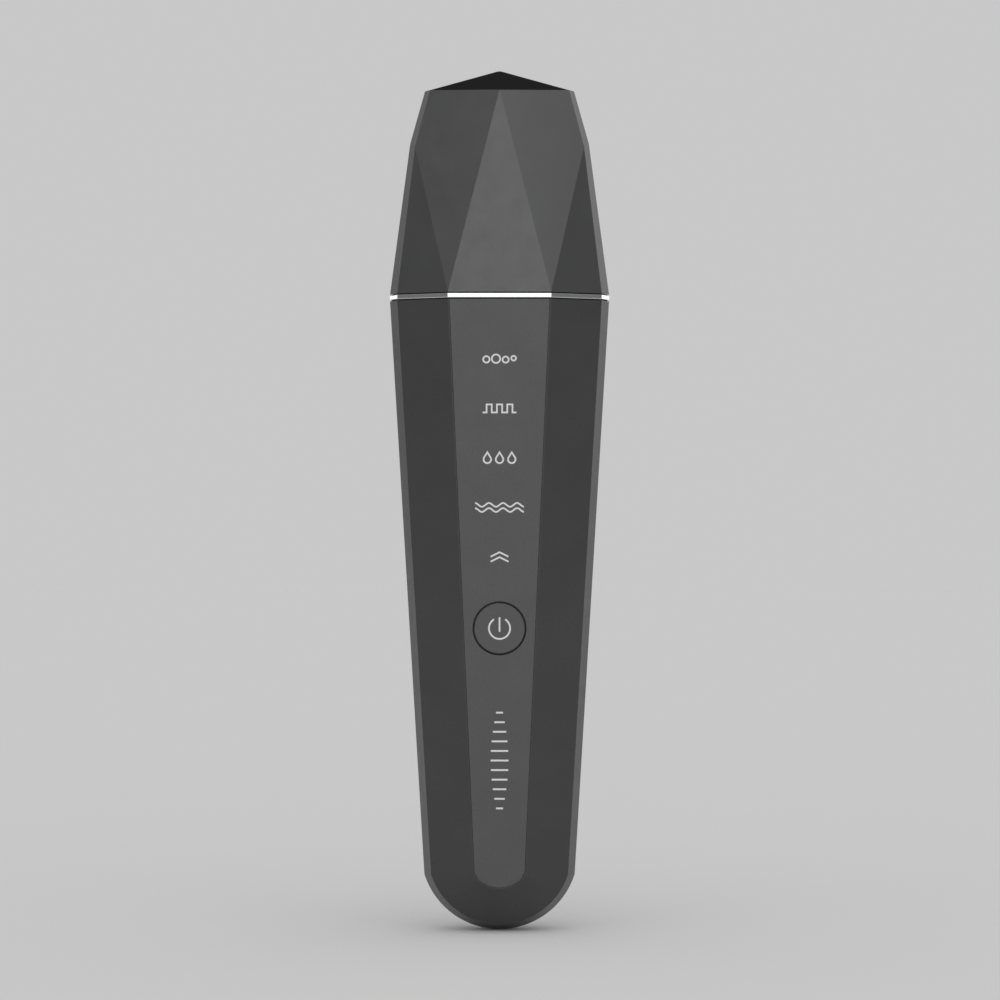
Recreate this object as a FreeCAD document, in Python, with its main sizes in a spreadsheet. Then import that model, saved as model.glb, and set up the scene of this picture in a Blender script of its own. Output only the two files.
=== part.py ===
"""Skin scrubber: a faceted ultrasonic handle, a bent steel blade and a pull-off cap.

The handle stands on its rounded end. +Z runs up its length, the front panel faces -Y and
the origin is the centre of the bottom of the bounding box. All lengths are millimetres.
"""
import FreeCAD, Part
import math
import os

import Sketcher

Vector = FreeCAD.Vector
document = FreeCAD.newDocument("skin_scrubber")

# ---------------------------------------------------------------- driving dimensions
DIMENSIONS = [
    # handle form: half widths at the foot (z = 0) and at the top
    ("handle_length", 135.3),
    ("foot_half_width", 15.49),
    ("top_half_width", 23.61),
    ("foot_panel_half_width", 5.12),
    ("top_panel_half_width", 11.02),
    ("foot_half_depth", 9.60),
    ("top_half_depth", 11.29),
    ("slant_angle", 31.2),
    ("stripe_angle", 70.2),
    ("end_radius", 17.0),
    ("end_stripe_radius", 15.45),
    ("end_panel_radius", 7.4),
    # walls and fits
    ("shell_wall", 1.7),
    ("floor_inset", 2.4),
    ("lip_inset", 0.95),
    ("lip_groove_inset", 0.88),
    ("lip_panel_inset", 1.8),
    ("lip_groove_panel_inset", 1.74),
    ("lip_height", 1.0),
    ("lip_groove_height", 1.06),
    ("neck_inset", 1.76),
    ("neck_front_inset", 2.46),
    # front panel and button
    ("panel_thickness", 1.0),
    ("panel_edge_land", 0.3),
    ("panel_clearance", 0.05),
    ("panel_corner_radius", 0.8),
    ("button_height", 65.2),
    ("button_hole_diameter", 11.5),
    ("button_diameter", 10.74),
    ("button_edge_radius", 0.15),
    ("button_flange_diameter", 13.4),
    ("button_flange_thickness", 0.8),
    ("button_flange_gap", 0.08),
    ("button_post_diameter", 4.0),
    ("button_post_gap", 0.05),
    ("switch_width", 6.2),
    ("switch_body_height", 3.4),
    ("stem_diameter", 3.4),
    ("stem_height", 2.9),
    # mode lights
    ("first_mode_height", 80.4),
    ("mode_pitch", 10.525),
    ("mode_window_width", 11.2),
    ("mode_window_height", 3.2),
    ("diffuser_width", 11.1),
    ("diffuser_height", 3.1),
    ("diffuser_thickness", 1.35),
    ("led_length", 2.0),
    ("led_width", 1.25),
    ("led_thickness", 0.7),
    ("baffle_width", 14.0),
    ("baffle_height", 51.4),
    ("baffle_depth", 7.2),
    ("baffle_cell_width", 12.0),
    ("baffle_cell_height", 8.6),
    # trim ring
    ("ring_bottom", 135.55),
    ("ring_height", 1.0),
    ("ring_edge_radius", 0.14),
    ("ring_flange_inset", 0.35),
    ("ring_flange_height", 1.35),
    ("ring_hole_inset", 2.2),
    # cap form
    ("cap_bottom", 136.75),
    ("cap_apex_half_depth", 5.2),
    ("cap_top_height", 180.4),
    ("cap_corner_half_width", 14.9),
    ("cap_corner_half_depth", 4.205),
    ("cap_knee_half_width", 18.1),
    ("cap_knee_half_depth", 5.93),
    ("cap_knee_height", 168.0),
    ("cap_side_half_width", 19.2),
    ("cap_side_half_depth", 2.578),
    ("cap_side_height", 169.0),
    ("cap_tip_half_width", 16.1),
    ("cap_tip_half_depth", 1.515),
    ("cap_tip_height", 180.2),
    ("cap_wall", 1.5),
    ("cap_roof", 1.9),
    ("crown_top", 185.0),
    ("crown_seat_depth", 0.8),
    ("crown_seat_inset", 1.3),
    ("crown_plug_inset", 1.4),
    ("crown_plug_depth", 0.75),
    # neck, seal and boot
    ("neck_bottom", 129.0),
    ("neck_top", 149.0),
    ("neck_cap_inset", 2.05),
    ("neck_step_inset", 2.3),
    ("neck_slot_width", 13.6),
    ("neck_slot_depth", 1.5),
    ("neck_core_width", 16.0),
    ("neck_core_depth", 4.4),
    ("neck_core_offset", 4.6),
    ("neck_core_rise", 13.0),
    ("neck_edge_chamfer", 1.6),
    ("seal_bottom", 140.0),
    ("seal_height", 2.0),
    ("seal_outer_inset", 1.58),
    ("seal_inner_inset", 2.6),
    ("boot_width", 19.0),
    ("boot_depth", 5.4),
    ("boot_seat_depth", 4.0),
    ("boot_rise", 1.6),
    ("boot_rim", 1.5),
    # blade and transducer
    ("blade_offset", 3.5),
    ("blade_thickness", 1.0),
    ("blade_bottom", 113.0),
    ("shank_width", 13.0),
    ("blade_width", 26.0),
    ("blade_straight_top", 155.0),
    ("blade_bend_angle", 32.0),
    ("blade_bend_radius", 8.0),
    ("blade_tip_length", 11.0),
    ("blade_corner_radius", 3.0),
    ("blade_flare_gap", 0.6),
    ("blade_flare_height", 6.5),
    ("blade_tip_bevel", 2.0),
    ("piezo_width", 11.0),
    ("piezo_height", 9.0),
    ("piezo_middle", 120.3),
    ("piezo_thickness", 1.2),
    ("holder_width", 18.0),
    ("holder_bottom", 111.4),
    ("holder_top", 128.8),
    ("holder_front", 0.5),
    ("holder_rear", 8.1),
    ("holder_wall", 1.3),
    ("holder_ear_height", 2.0),
    ("holder_screw_length", 6.4),
    ("damper_height", 2.4),
    ("damper_depth", 3.8),
    # board, battery and charging socket
    ("board_front", -0.73),
    ("board_thickness", 1.0),
    ("tray_thickness", 1.2),
    ("tray_width", 19.4),
    ("tray_bottom", 40.0),
    ("tray_top", 91.0),
    ("tray_wall", 1.0),
    ("tray_wall_depth", 4.4),
    ("battery_width", 16.5),
    ("battery_thickness", 5.0),
    ("battery_height", 46.0),
    ("battery_bottom", 41.6),
    ("battery_edge_radius", 1.6),
    ("pad_thickness", 0.4),
    ("usb_shell_width", 8.94),
    ("usb_shell_thickness", 3.26),
    ("usb_shell_depth", 7.35),
    ("usb_mouth_height", 1.3),
    ("usb_offset", 1.9),
    ("usb_cutout_width", 9.7),
    ("usb_cutout_thickness", 3.8),
    # parts on the board
    ("transformer_level", 103.0),
    ("transformer_width", 13.0),
    ("transformer_length", 11.0),
    ("transformer_plate", 1.2),
    ("winding_diameter", 9.4),
    ("winding_height", 3.6),
    ("inductor_head_diameter", 6.6),
    ("inductor_coil_diameter", 5.2),
    ("inductor_flange", 0.9),
    ("inductor_coil_height", 2.2),
    ("capacitor_offset", 11.0),
    ("capacitor_level", 104.0),
    ("capacitor_diameter", 5.0),
    ("capacitor_height", 4.6),
    ("capacitor_base", 5.2),
    ("capacitor_base_height", 0.8),
    ("board_part_length", 2.0),
    ("board_part_width", 1.2),
    ("board_part_thickness", 0.6),
    # posts, screws and wires
    ("post_diameter", 4.2),
    ("low_post_offset", 11.2),
    ("low_post_height", 38.0),
    ("high_post_offset", 12.6),
    ("high_post_height", 94.0),
    ("board_screw_diameter", 1.8),
    ("board_screw_head", 3.2),
    ("board_screw_length", 6.0),
    ("small_screw_head_height", 1.0),
    ("screw_slot", 0.5),
    ("screw_hole_play", 0.3),
    ("pilot_play", 0.02),
    ("pilot_start", 2.0),
    ("pilot_depth", 10.4),
    ("shell_screw_diameter", 2.0),
    ("shell_screw_head", 3.5),
    ("shell_screw_head_height", 1.1),
    ("shell_screw_cap_height", 0.75),
    ("low_screw_height", 30.0),
    ("low_screw_length", 13.0),
    ("high_screw_offset", 8.5),
    ("high_screw_height", 131.5),
    ("high_screw_length", 17.0),
    ("boss_diameter", 5.0),
    ("holder_screw_diameter", 1.8),
    ("holder_screw_offset", 12.6),
    ("wire_diameter", 0.8),
    # rear contact plate
    ("contact_width", 13.0),
    ("contact_height", 46.0),
    ("contact_middle", 81.0),
    ("contact_thickness", 0.8),
    ("contact_clearance", 0.06),
    ("contact_corner_radius", 3.0),
    ("contact_stud_diameter", 2.4),
    ("contact_stud_rise", 13.0),
    # construction sizes
    ("cut_reach", 400.0),
    ("cut_depth", 60.0),
    ("blank_half_width", 27.0),
    ("blank_half_depth", 15.0),
]

sheet = document.addObject("Spreadsheet::Sheet", "Dimensions")
for row, (alias, amount) in enumerate(DIMENSIONS, start=1):
    sheet.set(f"A{row}", alias)
    sheet.set(f"B{row}", str(amount))
    sheet.setAlias(f"B{row}", alias)
document.recompute()


def size(alias):
    """Value of one driving dimension."""
    return float(getattr(sheet, alias))


def cell(alias):
    """Expression that refers to one driving dimension."""
    return f"Dimensions.{alias}"


# ---------------------------------------------------------------- directions and frames
FACING = {
    "up": FreeCAD.Rotation(Vector(1, 0, 0), Vector(0, 1, 0), Vector(0, 0, 1), "ZXY"),
    "front": FreeCAD.Rotation(Vector(1, 0, 0), Vector(0, 0, 1), Vector(0, -1, 0), "ZXY"),
    "rear": FreeCAD.Rotation(Vector(-1, 0, 0), Vector(0, 0, 1), Vector(0, 1, 0), "ZXY"),
    "right": FreeCAD.Rotation(Vector(0, 1, 0), Vector(0, 0, 1), Vector(1, 0, 0), "ZXY"),
}
PANEL_TILT = math.atan(
    (size("top_half_depth") - size("foot_half_depth")) / size("handle_length"))
BOARD_REAR = size("board_front") + size("board_thickness")
HOLDER_SCREW_Y = size("blade_offset") + 0.3


def frame(x, y, z, facing="up"):
    """Placement at a point, its Z axis along the named direction."""
    return FreeCAD.Placement(Vector(x, y, z), FACING[facing])


def panel_frame(height=0.0, depth=0.0, rear=False):
    """Placement on the front facet (or the rear one), depth counted inwards."""
    side = 1.0 if rear else -1.0
    right = Vector(-side, 0, 0)
    up = Vector(0, side * math.sin(PANEL_TILT), math.cos(PANEL_TILT))
    normal = right.cross(up)
    foot = Vector(0, side * size("foot_half_depth"), 0)
    point = foot + up * height - normal * depth
    return FreeCAD.Placement(point, FreeCAD.Rotation(right, up, normal, "ZXY"))


def half_depth(height):
    """Half thickness of the handle at the panel at one height."""
    return size("foot_half_depth") + math.tan(PANEL_TILT) * height


# ---------------------------------------------------------------- modelling helpers
def new_body(label, placement=None):
    """Empty body with its own label and placement."""
    body = document.addObject("PartDesign::Body", label)
    body.Label = label
    if placement is not None:
        body.Placement = placement
    return body


def new_sketch(body, name, placement):
    """Sketch attached to the XY plane of the body, moved to a placement in the body."""
    sketch = body.newObject("Sketcher::SketchObject", f"{body.Name}_{name}")
    plane = [item for item in body.Origin.OriginFeatures if item.Role == "XY_Plane"][0]
    sketch.AttachmentSupport = [(plane, "")]
    sketch.MapMode = "FlatFace"
    sketch.AttachmentOffset = placement
    return sketch


def draw_rectangle(sketch, width, height):
    """Centred rectangle whose sides follow two expressions."""
    corners = [Vector(-1, -1, 0), Vector(1, -1, 0), Vector(1, 1, 0), Vector(-1, 1, 0)]
    first = sketch.GeometryCount
    for index in range(4):
        sketch.addGeometry(Part.LineSegment(corners[index], corners[(index + 1) % 4]), False)
    for index in range(4):
        following = first + (index + 1) % 4
        sketch.addConstraint(
            Sketcher.Constraint("Coincident", first + index, 2, following, 1))
    for index, direction in enumerate(("Horizontal", "Vertical", "Horizontal", "Vertical")):
        sketch.addConstraint(Sketcher.Constraint(direction, first + index))
    sketch.addConstraint(Sketcher.Constraint("Symmetric", first, 1, first + 2, 1, -1, 1))
    across = sketch.addConstraint(
        Sketcher.Constraint("DistanceX", first, 1, first, 2, 2.0))
    along = sketch.addConstraint(
        Sketcher.Constraint("DistanceY", first + 1, 1, first + 1, 2, 2.0))
    sketch.setExpression(f"Constraints[{across}]", width)
    sketch.setExpression(f"Constraints[{along}]", height)


def draw_circle(sketch, diameter):
    """Circle on the sketch origin whose diameter follows an expression."""
    index = sketch.addGeometry(Part.Circle(Vector(0, 0, 0), Vector(0, 0, 1), 1.0), False)
    sketch.addConstraint(Sketcher.Constraint("Coincident", index, 3, -1, 1))
    number = sketch.addConstraint(Sketcher.Constraint("Diameter", index, 2.0))
    sketch.setExpression(f"Constraints[{number}]", diameter)


def draw_outline(sketch, points):
    """Closed outline through points given in the plane of the sketch."""
    first = sketch.GeometryCount
    count = len(points)
    for index in range(count):
        start = Vector(points[index][0], points[index][1], 0)
        end = Vector(points[(index + 1) % count][0], points[(index + 1) % count][1], 0)
        sketch.addGeometry(Part.LineSegment(start, end), False)
    for index in range(count):
        following = first + (index + 1) % count
        sketch.addConstraint(
            Sketcher.Constraint("Coincident", first + index, 2, following, 1))


def add_pad(body, sketch, length, inwards=False, midplane=False):
    """Pad a sketch by a length expression."""
    pad = body.newObject("PartDesign::Pad", f"{sketch.Name}_pad")
    pad.Profile = sketch
    pad.Reversed = inwards
    pad.Midplane = midplane
    pad.setExpression("Length", length)
    return pad


def add_pocket(body, sketch, length, outwards=False, midplane=False):
    """Cut a sketch by a length expression, against the sketch normal."""
    pocket = body.newObject("PartDesign::Pocket", f"{sketch.Name}_cut")
    pocket.Profile = sketch
    pocket.Reversed = outwards
    pocket.Midplane = midplane
    pocket.setExpression("Length", length)
    return pocket


def block(body, name, place, width, height, length, cut=False, inwards=False, midplane=False):
    """Rectangular pad or cut with three size expressions."""
    sketch = new_sketch(body, name, place)
    draw_rectangle(sketch, width, height)
    if cut:
        return add_pocket(body, sketch, length, not inwards, midplane)
    return add_pad(body, sketch, length, inwards, midplane)


def disc(body, name, place, diameter, length, cut=False, inwards=False, midplane=False):
    """Round pad or cut with two size expressions."""
    sketch = new_sketch(body, name, place)
    draw_circle(sketch, diameter)
    if cut:
        return add_pocket(body, sketch, length, not inwards, midplane)
    return add_pad(body, sketch, length, inwards, midplane)


def outline_block(body, name, place, points, length, cut=False, inwards=False, midplane=False):
    """Pad or cut of a closed outline."""
    sketch = new_sketch(body, name, place)
    draw_outline(sketch, points)
    if cut:
        return add_pocket(body, sketch, length, not inwards, midplane)
    return add_pad(body, sketch, length, inwards, midplane)


def edges_of(body, chosen):
    """Names of the edges of the body's tip that pass a test."""
    document.recompute()
    shape = body.Tip.Shape
    return [f"Edge{index}" for index, edge in enumerate(shape.Edges, start=1) if chosen(edge)]


def dress(body, kind, chosen, amount):
    """Fillet or chamfer of the chosen edges with one size expression."""
    names = edges_of(body, chosen)
    base = body.Tip
    feature = body.newObject(f"PartDesign::{kind}", f"{body.Name}_{kind.lower()}")
    feature.Base = (base, names)
    feature.setExpression("Radius" if kind == "Fillet" else "Size", amount)
    return feature


def joined(label, items):
    """Union of several objects."""
    union = document.addObject("Part::MultiFuse", label)
    union.Label = label
    union.Shapes = items
    return union


def shared(label, items):
    """Common volume of several objects."""
    common = document.addObject("Part::MultiCommon", label)
    common.Label = label
    common.Shapes = items
    return common


def cut_away(label, base, tools):
    """Base without the tools."""
    tool = tools[0] if len(tools) == 1 else joined(f"{label}_tools", tools)
    difference = document.addObject("Part::Cut", label)
    difference.Label = label
    difference.Base = base
    difference.Tool = tool
    return difference


def group(label, items):
    """One node that holds several separate solids."""
    compound = document.addObject("Part::Compound", label)
    compound.Label = label
    compound.Links = items
    return compound


def cylinder(label, place, diameter, height):
    """Part cylinder with a diameter and a height expression."""
    item = document.addObject("Part::Cylinder", label)
    item.Label = label
    item.setExpression("Radius", f"({diameter}) / 2")
    item.setExpression("Height", height)
    item.Placement = place
    return item


def centred_box(label, place, width, height, length):
    """Part box centred on the X and Y axes of its placement."""
    item = document.addObject("Part::Box", label)
    item.Label = label
    item.setExpression("Length", width)
    item.setExpression("Width", height)
    item.setExpression("Height", length)
    document.recompute()
    corner = Vector(-item.Length.Value / 2, -item.Width.Value / 2, 0)
    item.Placement = place.multiply(FreeCAD.Placement(corner, FreeCAD.Rotation()))
    return item


def slab(label, low, high):
    """Wide flat block between two heights, for trimming forms."""
    reach = f"{cell('blank_half_width')} * 2.4"
    return centred_box(label, frame(0, 0, low), reach, reach, str(round(high - low, 4)))


# ---------------------------------------------------------------- faceted forms
def facet_frame(points, inset):
    """Placement on the plane through three points, its Z axis pointing away from the axis."""
    first, second, third = points
    middle = (first + second + third) * (1.0 / 3.0)
    along = (second - first).normalize()
    normal = (second - first).cross(third - first).normalize()
    if normal.dot(Vector(middle.x, middle.y, 0)) < 0:
        normal = normal * -1.0
    across = normal.cross(along)
    rotation = FreeCAD.Rotation(along, across, normal, "ZXY")
    return FreeCAD.Placement(middle - normal * inset, rotation)


def cut_facet(body, name, points, inset):
    """Remove everything outside the plane through three points."""
    place = facet_frame(points, inset)
    block(body, name, place, cell("cut_reach"), cell("cut_reach"), cell("cut_depth"), cut=True)


def mirrored(points, side, face):
    """Points moved to one of the four quarters; face -1 is the front."""
    return [Vector(side * point[0], face * point[1], point[2]) for point in points]


def handle_facets():
    """Front, slanted and stripe facets of one quarter of the handle: three points each."""
    top = size("handle_length")
    facets = {"front": [
        (0.0, size("foot_half_depth"), 0.0),
        (0.0, size("top_half_depth"), top),
        (5.0, size("top_half_depth"), top)]}
    edges = {
        "slant": ("panel_half_width", "half_depth", "slant_angle"),
        "stripe": ("half_width", None, "stripe_angle"),
    }
    for name, (width, depth, angle) in edges.items():
        turn = math.radians(size(angle))
        foot_depth = size(f"foot_{depth}") if depth else 0.0
        top_depth = size(f"top_{depth}") if depth else 0.0
        foot = (size(f"foot_{width}"), foot_depth, 0.0)
        head = (size(f"top_{width}"), top_depth, top)
        beside = (head[0] + 5 * math.cos(turn), head[1] - 5 * math.sin(turn), top)
        facets[name] = [foot, head, beside]
    return facets


def end_profile(inset):
    """Half section of the rounded end: radius and half depth of its edges."""
    stripe = math.radians(size("stripe_angle"))
    rim = size("end_radius") - inset / math.sin(stripe)
    edge_radius = size("end_stripe_radius")
    edge_depth = (size("end_radius") - edge_radius) * math.tan(stripe)
    panel_depth = half_depth(size("end_radius") - size("end_panel_radius"))
    slope = (panel_depth - edge_depth) / (edge_radius - size("end_panel_radius"))
    axis_depth = edge_depth + edge_radius * slope - inset * math.hypot(1.0, slope)
    steep = math.tan(stripe)
    cross = (axis_depth - rim * steep) / (slope - steep)
    return [(cross, axis_depth - slope * cross), (rim, 0.0)], axis_depth


def handle_form(label, inset, panel_inset, height, face=0):
    """Solid inside the handle facets. Face -1 or 1 keeps only the front or rear half."""
    body = new_body(label)
    width = f"2 * {cell('blank_half_width')}"
    depth = f"{cell('blank_half_depth')}"
    if face == 0:
        block(body, "blank", frame(0, 0, 0), width, f"2 * {depth}", str(height))
    else:
        middle = face * size("blank_half_depth") / 2
        block(body, "blank", frame(0, middle, 0), width, depth, str(height))
    faces = (-1, 1) if face == 0 else (face,)
    for turn in faces:
        side_name = "front" if turn < 0 else "rear"
        for name, points in handle_facets().items():
            amount = panel_inset if (name == "front" and turn < 0) else inset
            sides = (1,) if name == "front" else (-1, 1)
            for side in sides:
                hand = "right" if side > 0 else "left"
                cut_facet(body, f"{side_name}_{name}_{hand}", mirrored(points, side, turn), amount)
    profile, axis_depth = end_profile(inset)
    (edge_radius, edge_depth), (rim, _) = profile
    far = size("cut_depth")
    outline = [
        (0, -axis_depth), (edge_radius, -edge_depth), (rim, 0), (edge_radius, edge_depth),
        (0, axis_depth), (0, far), (far, far), (far, -far), (0, -far)]
    sketch = new_sketch(body, "end", frame(0, 0, size("end_radius")))
    draw_outline(sketch, outline)
    groove = body.newObject("PartDesign::Groove", f"{body.Name}_rounded_end")
    groove.Profile = sketch
    groove.ReferenceAxis = (sketch, ["V_Axis"])
    groove.Angle = 180.0
    groove.Reversed = False
    return body


def cap_points():
    """Named corners of one quarter of the cap."""
    top = size("cap_top_height")
    stripe = math.radians(size("stripe_angle"))
    slant = math.radians(size("slant_angle"))
    edge_depth = size("top_half_depth")
    run = size("top_half_width") - size("top_panel_half_width")
    rise = edge_depth
    knee = (run * math.tan(stripe) - rise) / (math.tan(stripe) - math.tan(slant))
    quarter_width = size("top_panel_half_width") + knee
    quarter_depth = edge_depth - knee * math.tan(slant)
    bottom = size("cap_bottom")
    return {
        "panel": (size("top_panel_half_width"), edge_depth, bottom),
        "quarter": (quarter_width, quarter_depth, bottom),
        "side": (size("top_half_width"), 0.0, bottom),
        "apex": (0.0, size("cap_apex_half_depth"), top),
        "corner": (size("cap_corner_half_width"), size("cap_corner_half_depth"), top),
        "knee": (size("cap_knee_half_width"), size("cap_knee_half_depth"),
                 size("cap_knee_height")),
        "edge": (size("cap_side_half_width"), size("cap_side_half_depth"),
                 size("cap_side_height")),
        "tip": (size("cap_tip_half_width"), size("cap_tip_half_depth"),
                size("cap_tip_height")),
    }


CAP_FACETS = {
    "face": ("panel", "apex", "knee"),
    "lower_slant": ("knee", "panel", "quarter"),
    "lower_stripe": ("quarter", "side", "knee"),
    "upper_stripe": ("knee", "corner", "edge"),
}


def cap_form(label, inset, low, high):
    """Solid inside the cap facets between two heights."""
    body = new_body(label)
    width = f"2 * {cell('blank_half_width')}"
    depth = f"2 * {cell('blank_half_depth')}"
    block(body, "blank", frame(0, 0, low), width, depth, str(round(high - low, 4)))
    points = cap_points()
    for face in (-1, 1):
        face_name = "front" if face < 0 else "rear"
        panel = points["panel"]
        centre = [panel, (-panel[0], panel[1], panel[2]), points["apex"]]
        cut_facet(body, f"{face_name}_centre", mirrored(centre, 1, face), inset)
        for side in (-1, 1):
            hand = "right" if side > 0 else "left"
            for name, corners in CAP_FACETS.items():
                chosen = [points[corner] for corner in corners]
                cut_facet(body, f"{face_name}_{name}_{hand}", mirrored(chosen, side, face), inset)
    edge = points["edge"]
    opposite = (edge[0], -edge[1], edge[2])
    for side in (-1, 1):
        hand = "right" if side > 0 else "left"
        for name, last in (("lower_side", "side"), ("upper_side", "tip")):
            chosen = [edge, opposite, points[last]]
            cut_facet(body, f"{name}_{hand}", mirrored(chosen, side, 1), inset)
    return body


def ring_outline(inset, panel_inset=None):
    """Ten corners of the section at the top of the handle, moved inwards."""
    panel_inset = inset if panel_inset is None else panel_inset
    slant = math.radians(size("slant_angle"))
    stripe = math.radians(size("stripe_angle"))
    depth = size("top_half_depth") - panel_inset
    slant_reach = (size("top_panel_half_width") * math.sin(slant)
                   + size("top_half_depth") * math.cos(slant) - inset)
    stripe_reach = size("top_half_width") * math.sin(stripe) - inset
    panel_width = (slant_reach - depth * math.cos(slant)) / math.sin(slant)
    side = stripe_reach / math.sin(stripe)
    spread = math.sin(stripe - slant)
    quarter_width = (stripe_reach * math.cos(slant) - slant_reach * math.cos(stripe)) / spread
    quarter_depth = (slant_reach * math.sin(stripe) - stripe_reach * math.sin(slant)) / spread
    right = [(panel_width, -depth), (quarter_width, -quarter_depth), (side, 0),
             (quarter_width, quarter_depth), (panel_width, depth)]
    left = [(-x, y) for x, y in reversed(right)]
    return right + left


# ---------------------------------------------------------------- handle shells
TOP = size("handle_length")
WALL = size("shell_wall")
LOW_SCREW = (0.0, size("low_screw_height"))
HIGH_SCREWS = [(side * size("high_screw_offset"), size("high_screw_height")) for side in (-1, 1)]
BOARD_SCREWS = [(side * size(f"{level}_post_offset"), size(f"{level}_post_height"))
                for level in ("low", "high") for side in (-1, 1)]
MODE_HEIGHTS = [size("first_mode_height") + index * size("mode_pitch") for index in range(5)]

cavity_front = handle_form("cavity_front", WALL, size("floor_inset"), TOP + 4, face=-1)
cavity_rear = handle_form("cavity_rear", WALL, WALL, TOP + 4, face=1)
lip_form = handle_form("lip_form", size("lip_inset"), size("lip_panel_inset"), TOP, face=-1)
groove_form = handle_form(
    "groove_form", size("lip_groove_inset"), size("lip_groove_panel_inset"), TOP, face=-1)


def panel_outline(edge_inset, top):
    """Outline of the front panel in the plane of the front facet, up to a height."""
    slope = (size("top_panel_half_width") - size("foot_panel_half_width")) / TOP
    foot_width = size("foot_panel_half_width") - edge_inset
    top_width = foot_width + slope * top
    radius = size("end_panel_radius") - edge_inset
    centre = size("end_radius")
    # the straight edge x = foot_width + slope * z meets the end arc here
    square = 1 + slope ** 2
    linear = foot_width * slope - centre
    constant = foot_width ** 2 + centre ** 2 - radius ** 2
    corner_z = (-linear - math.sqrt(linear ** 2 - square * constant)) / square
    corner_x = foot_width + slope * corner_z
    round_off = size("panel_corner_radius")
    points = [(top_width, top), (-top_width, top)]
    points.append((-corner_x - slope * round_off, corner_z + round_off))
    steps = 24
    limit = math.asin((corner_x - round_off) / radius)
    for index in range(steps + 1):
        angle = -limit + 2 * limit * index / steps
        points.append((radius * math.sin(angle), centre - radius * math.cos(angle)))
    points.append((corner_x + slope * round_off, corner_z + round_off))
    return points


def panel_recess():
    """Cutter for the seat of the front panel."""
    body = new_body("panel_recess", panel_frame())
    points = panel_outline(size("panel_edge_land"), TOP + 3)
    outline_block(body, "seat", FreeCAD.Placement(), points,
                  cell("panel_thickness"), inwards=True)
    outline_block(body, "above", FreeCAD.Placement(), points, "1.0")
    return body


def usb_cutter(label):
    """Slot through the rear half of the lower end, rounded behind, for the charging plug."""
    body = new_body(label, frame(0, 0, -1.0))
    reach = size("usb_cutout_thickness") + 1.3
    middle = size("usb_cutout_thickness") - reach / 2
    block(body, "slot", frame(0, middle, 0), cell("usb_cutout_width"), str(reach), "11.0")

    def rear_corner(edge):
        upright = abs(edge.tangentAt(edge.FirstParameter).z) > 0.9
        return upright and edge.CenterOfMass.y > 0

    dress(body, "Fillet", rear_corner, f"{cell('usb_cutout_thickness')} * 0.49")
    return body


def build_rear_shell():
    """Rear half with its lip, board posts, screw bosses and the seat of the contact plate."""
    outer = handle_form("rear_outer", 0.0, 0.0, TOP, face=1)
    skin = cut_away("rear_skin", outer, [cavity_rear])
    lip_slab = centred_box("lip_slab", frame(0, -size("lip_height") / 2, 0),
                           f"2.4 * {cell('blank_half_width')}", cell("lip_height"),
                           cell("handle_length"))
    lip_band = shared("lip_band", [lip_form, lip_slab])
    lip = cut_away("lip", lip_band, [cavity_front])
    posts = []
    for index, (x, z) in enumerate(BOARD_SCREWS):
        place = frame(x, BOARD_REAR + size("tray_thickness"), z, "rear")
        posts.append(cylinder(f"board_post_{index}", place, cell("post_diameter"), "12"))
    x, z = LOW_SCREW
    posts.append(cylinder("low_boss", frame(x, -0.4, z, "rear"), cell("boss_diameter"), "12"))
    for index, (x, z) in enumerate(HIGH_SCREWS):
        place = frame(x, 4.5, z, "rear")
        posts.append(cylinder(f"high_boss_{index}", place, cell("boss_diameter"), "8"))
    columns = joined("rear_columns", posts)
    trimmed = shared("rear_bosses", [columns, handle_form("rear_inner", 0.8, 0.8, TOP, face=1)])
    solid = joined("rear_solid", [skin, lip, trimmed])
    tools = [usb_cutter("rear_usb_slot")]
    for index, (x, z) in enumerate(BOARD_SCREWS):
        place = frame(x, BOARD_REAR, z, "rear")
        tools.append(cylinder(f"board_pilot_{index}", place,
                              f"{cell('board_screw_diameter')} + {cell('pilot_play')}",
                              f"{cell('board_screw_length')} - {cell('board_thickness')} + 0.2"))
    for index, (x, z) in enumerate([LOW_SCREW] + HIGH_SCREWS):
        place = frame(x, -size("pilot_start"), z, "rear")
        tools.append(cylinder(f"shell_pilot_{index}", place,
                              f"{cell('shell_screw_diameter')} + {cell('pilot_play')}",
                              cell("pilot_depth")))
    seat = new_body("contact_seat", panel_frame(size("contact_middle"), rear=True))
    play = f"2 * {cell('contact_clearance')}"
    block(seat, "seat", FreeCAD.Placement(), f"{cell('contact_width')} + {play}",
          f"{cell('contact_height')} + {play}", f"{cell('contact_thickness')} + 0.02",
          inwards=True)
    dress(seat, "Fillet", lambda edge: abs(edge.tangentAt(edge.FirstParameter).z) > 0.9,
          cell("contact_corner_radius"))
    disc(seat, "stud_hole", frame(0, size("contact_stud_rise"), 1.0),
         f"{cell('contact_stud_diameter')} + 0.2", "6.0", inwards=True)
    tools.append(seat)
    return cut_away("rear_shell", solid, tools)


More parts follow.
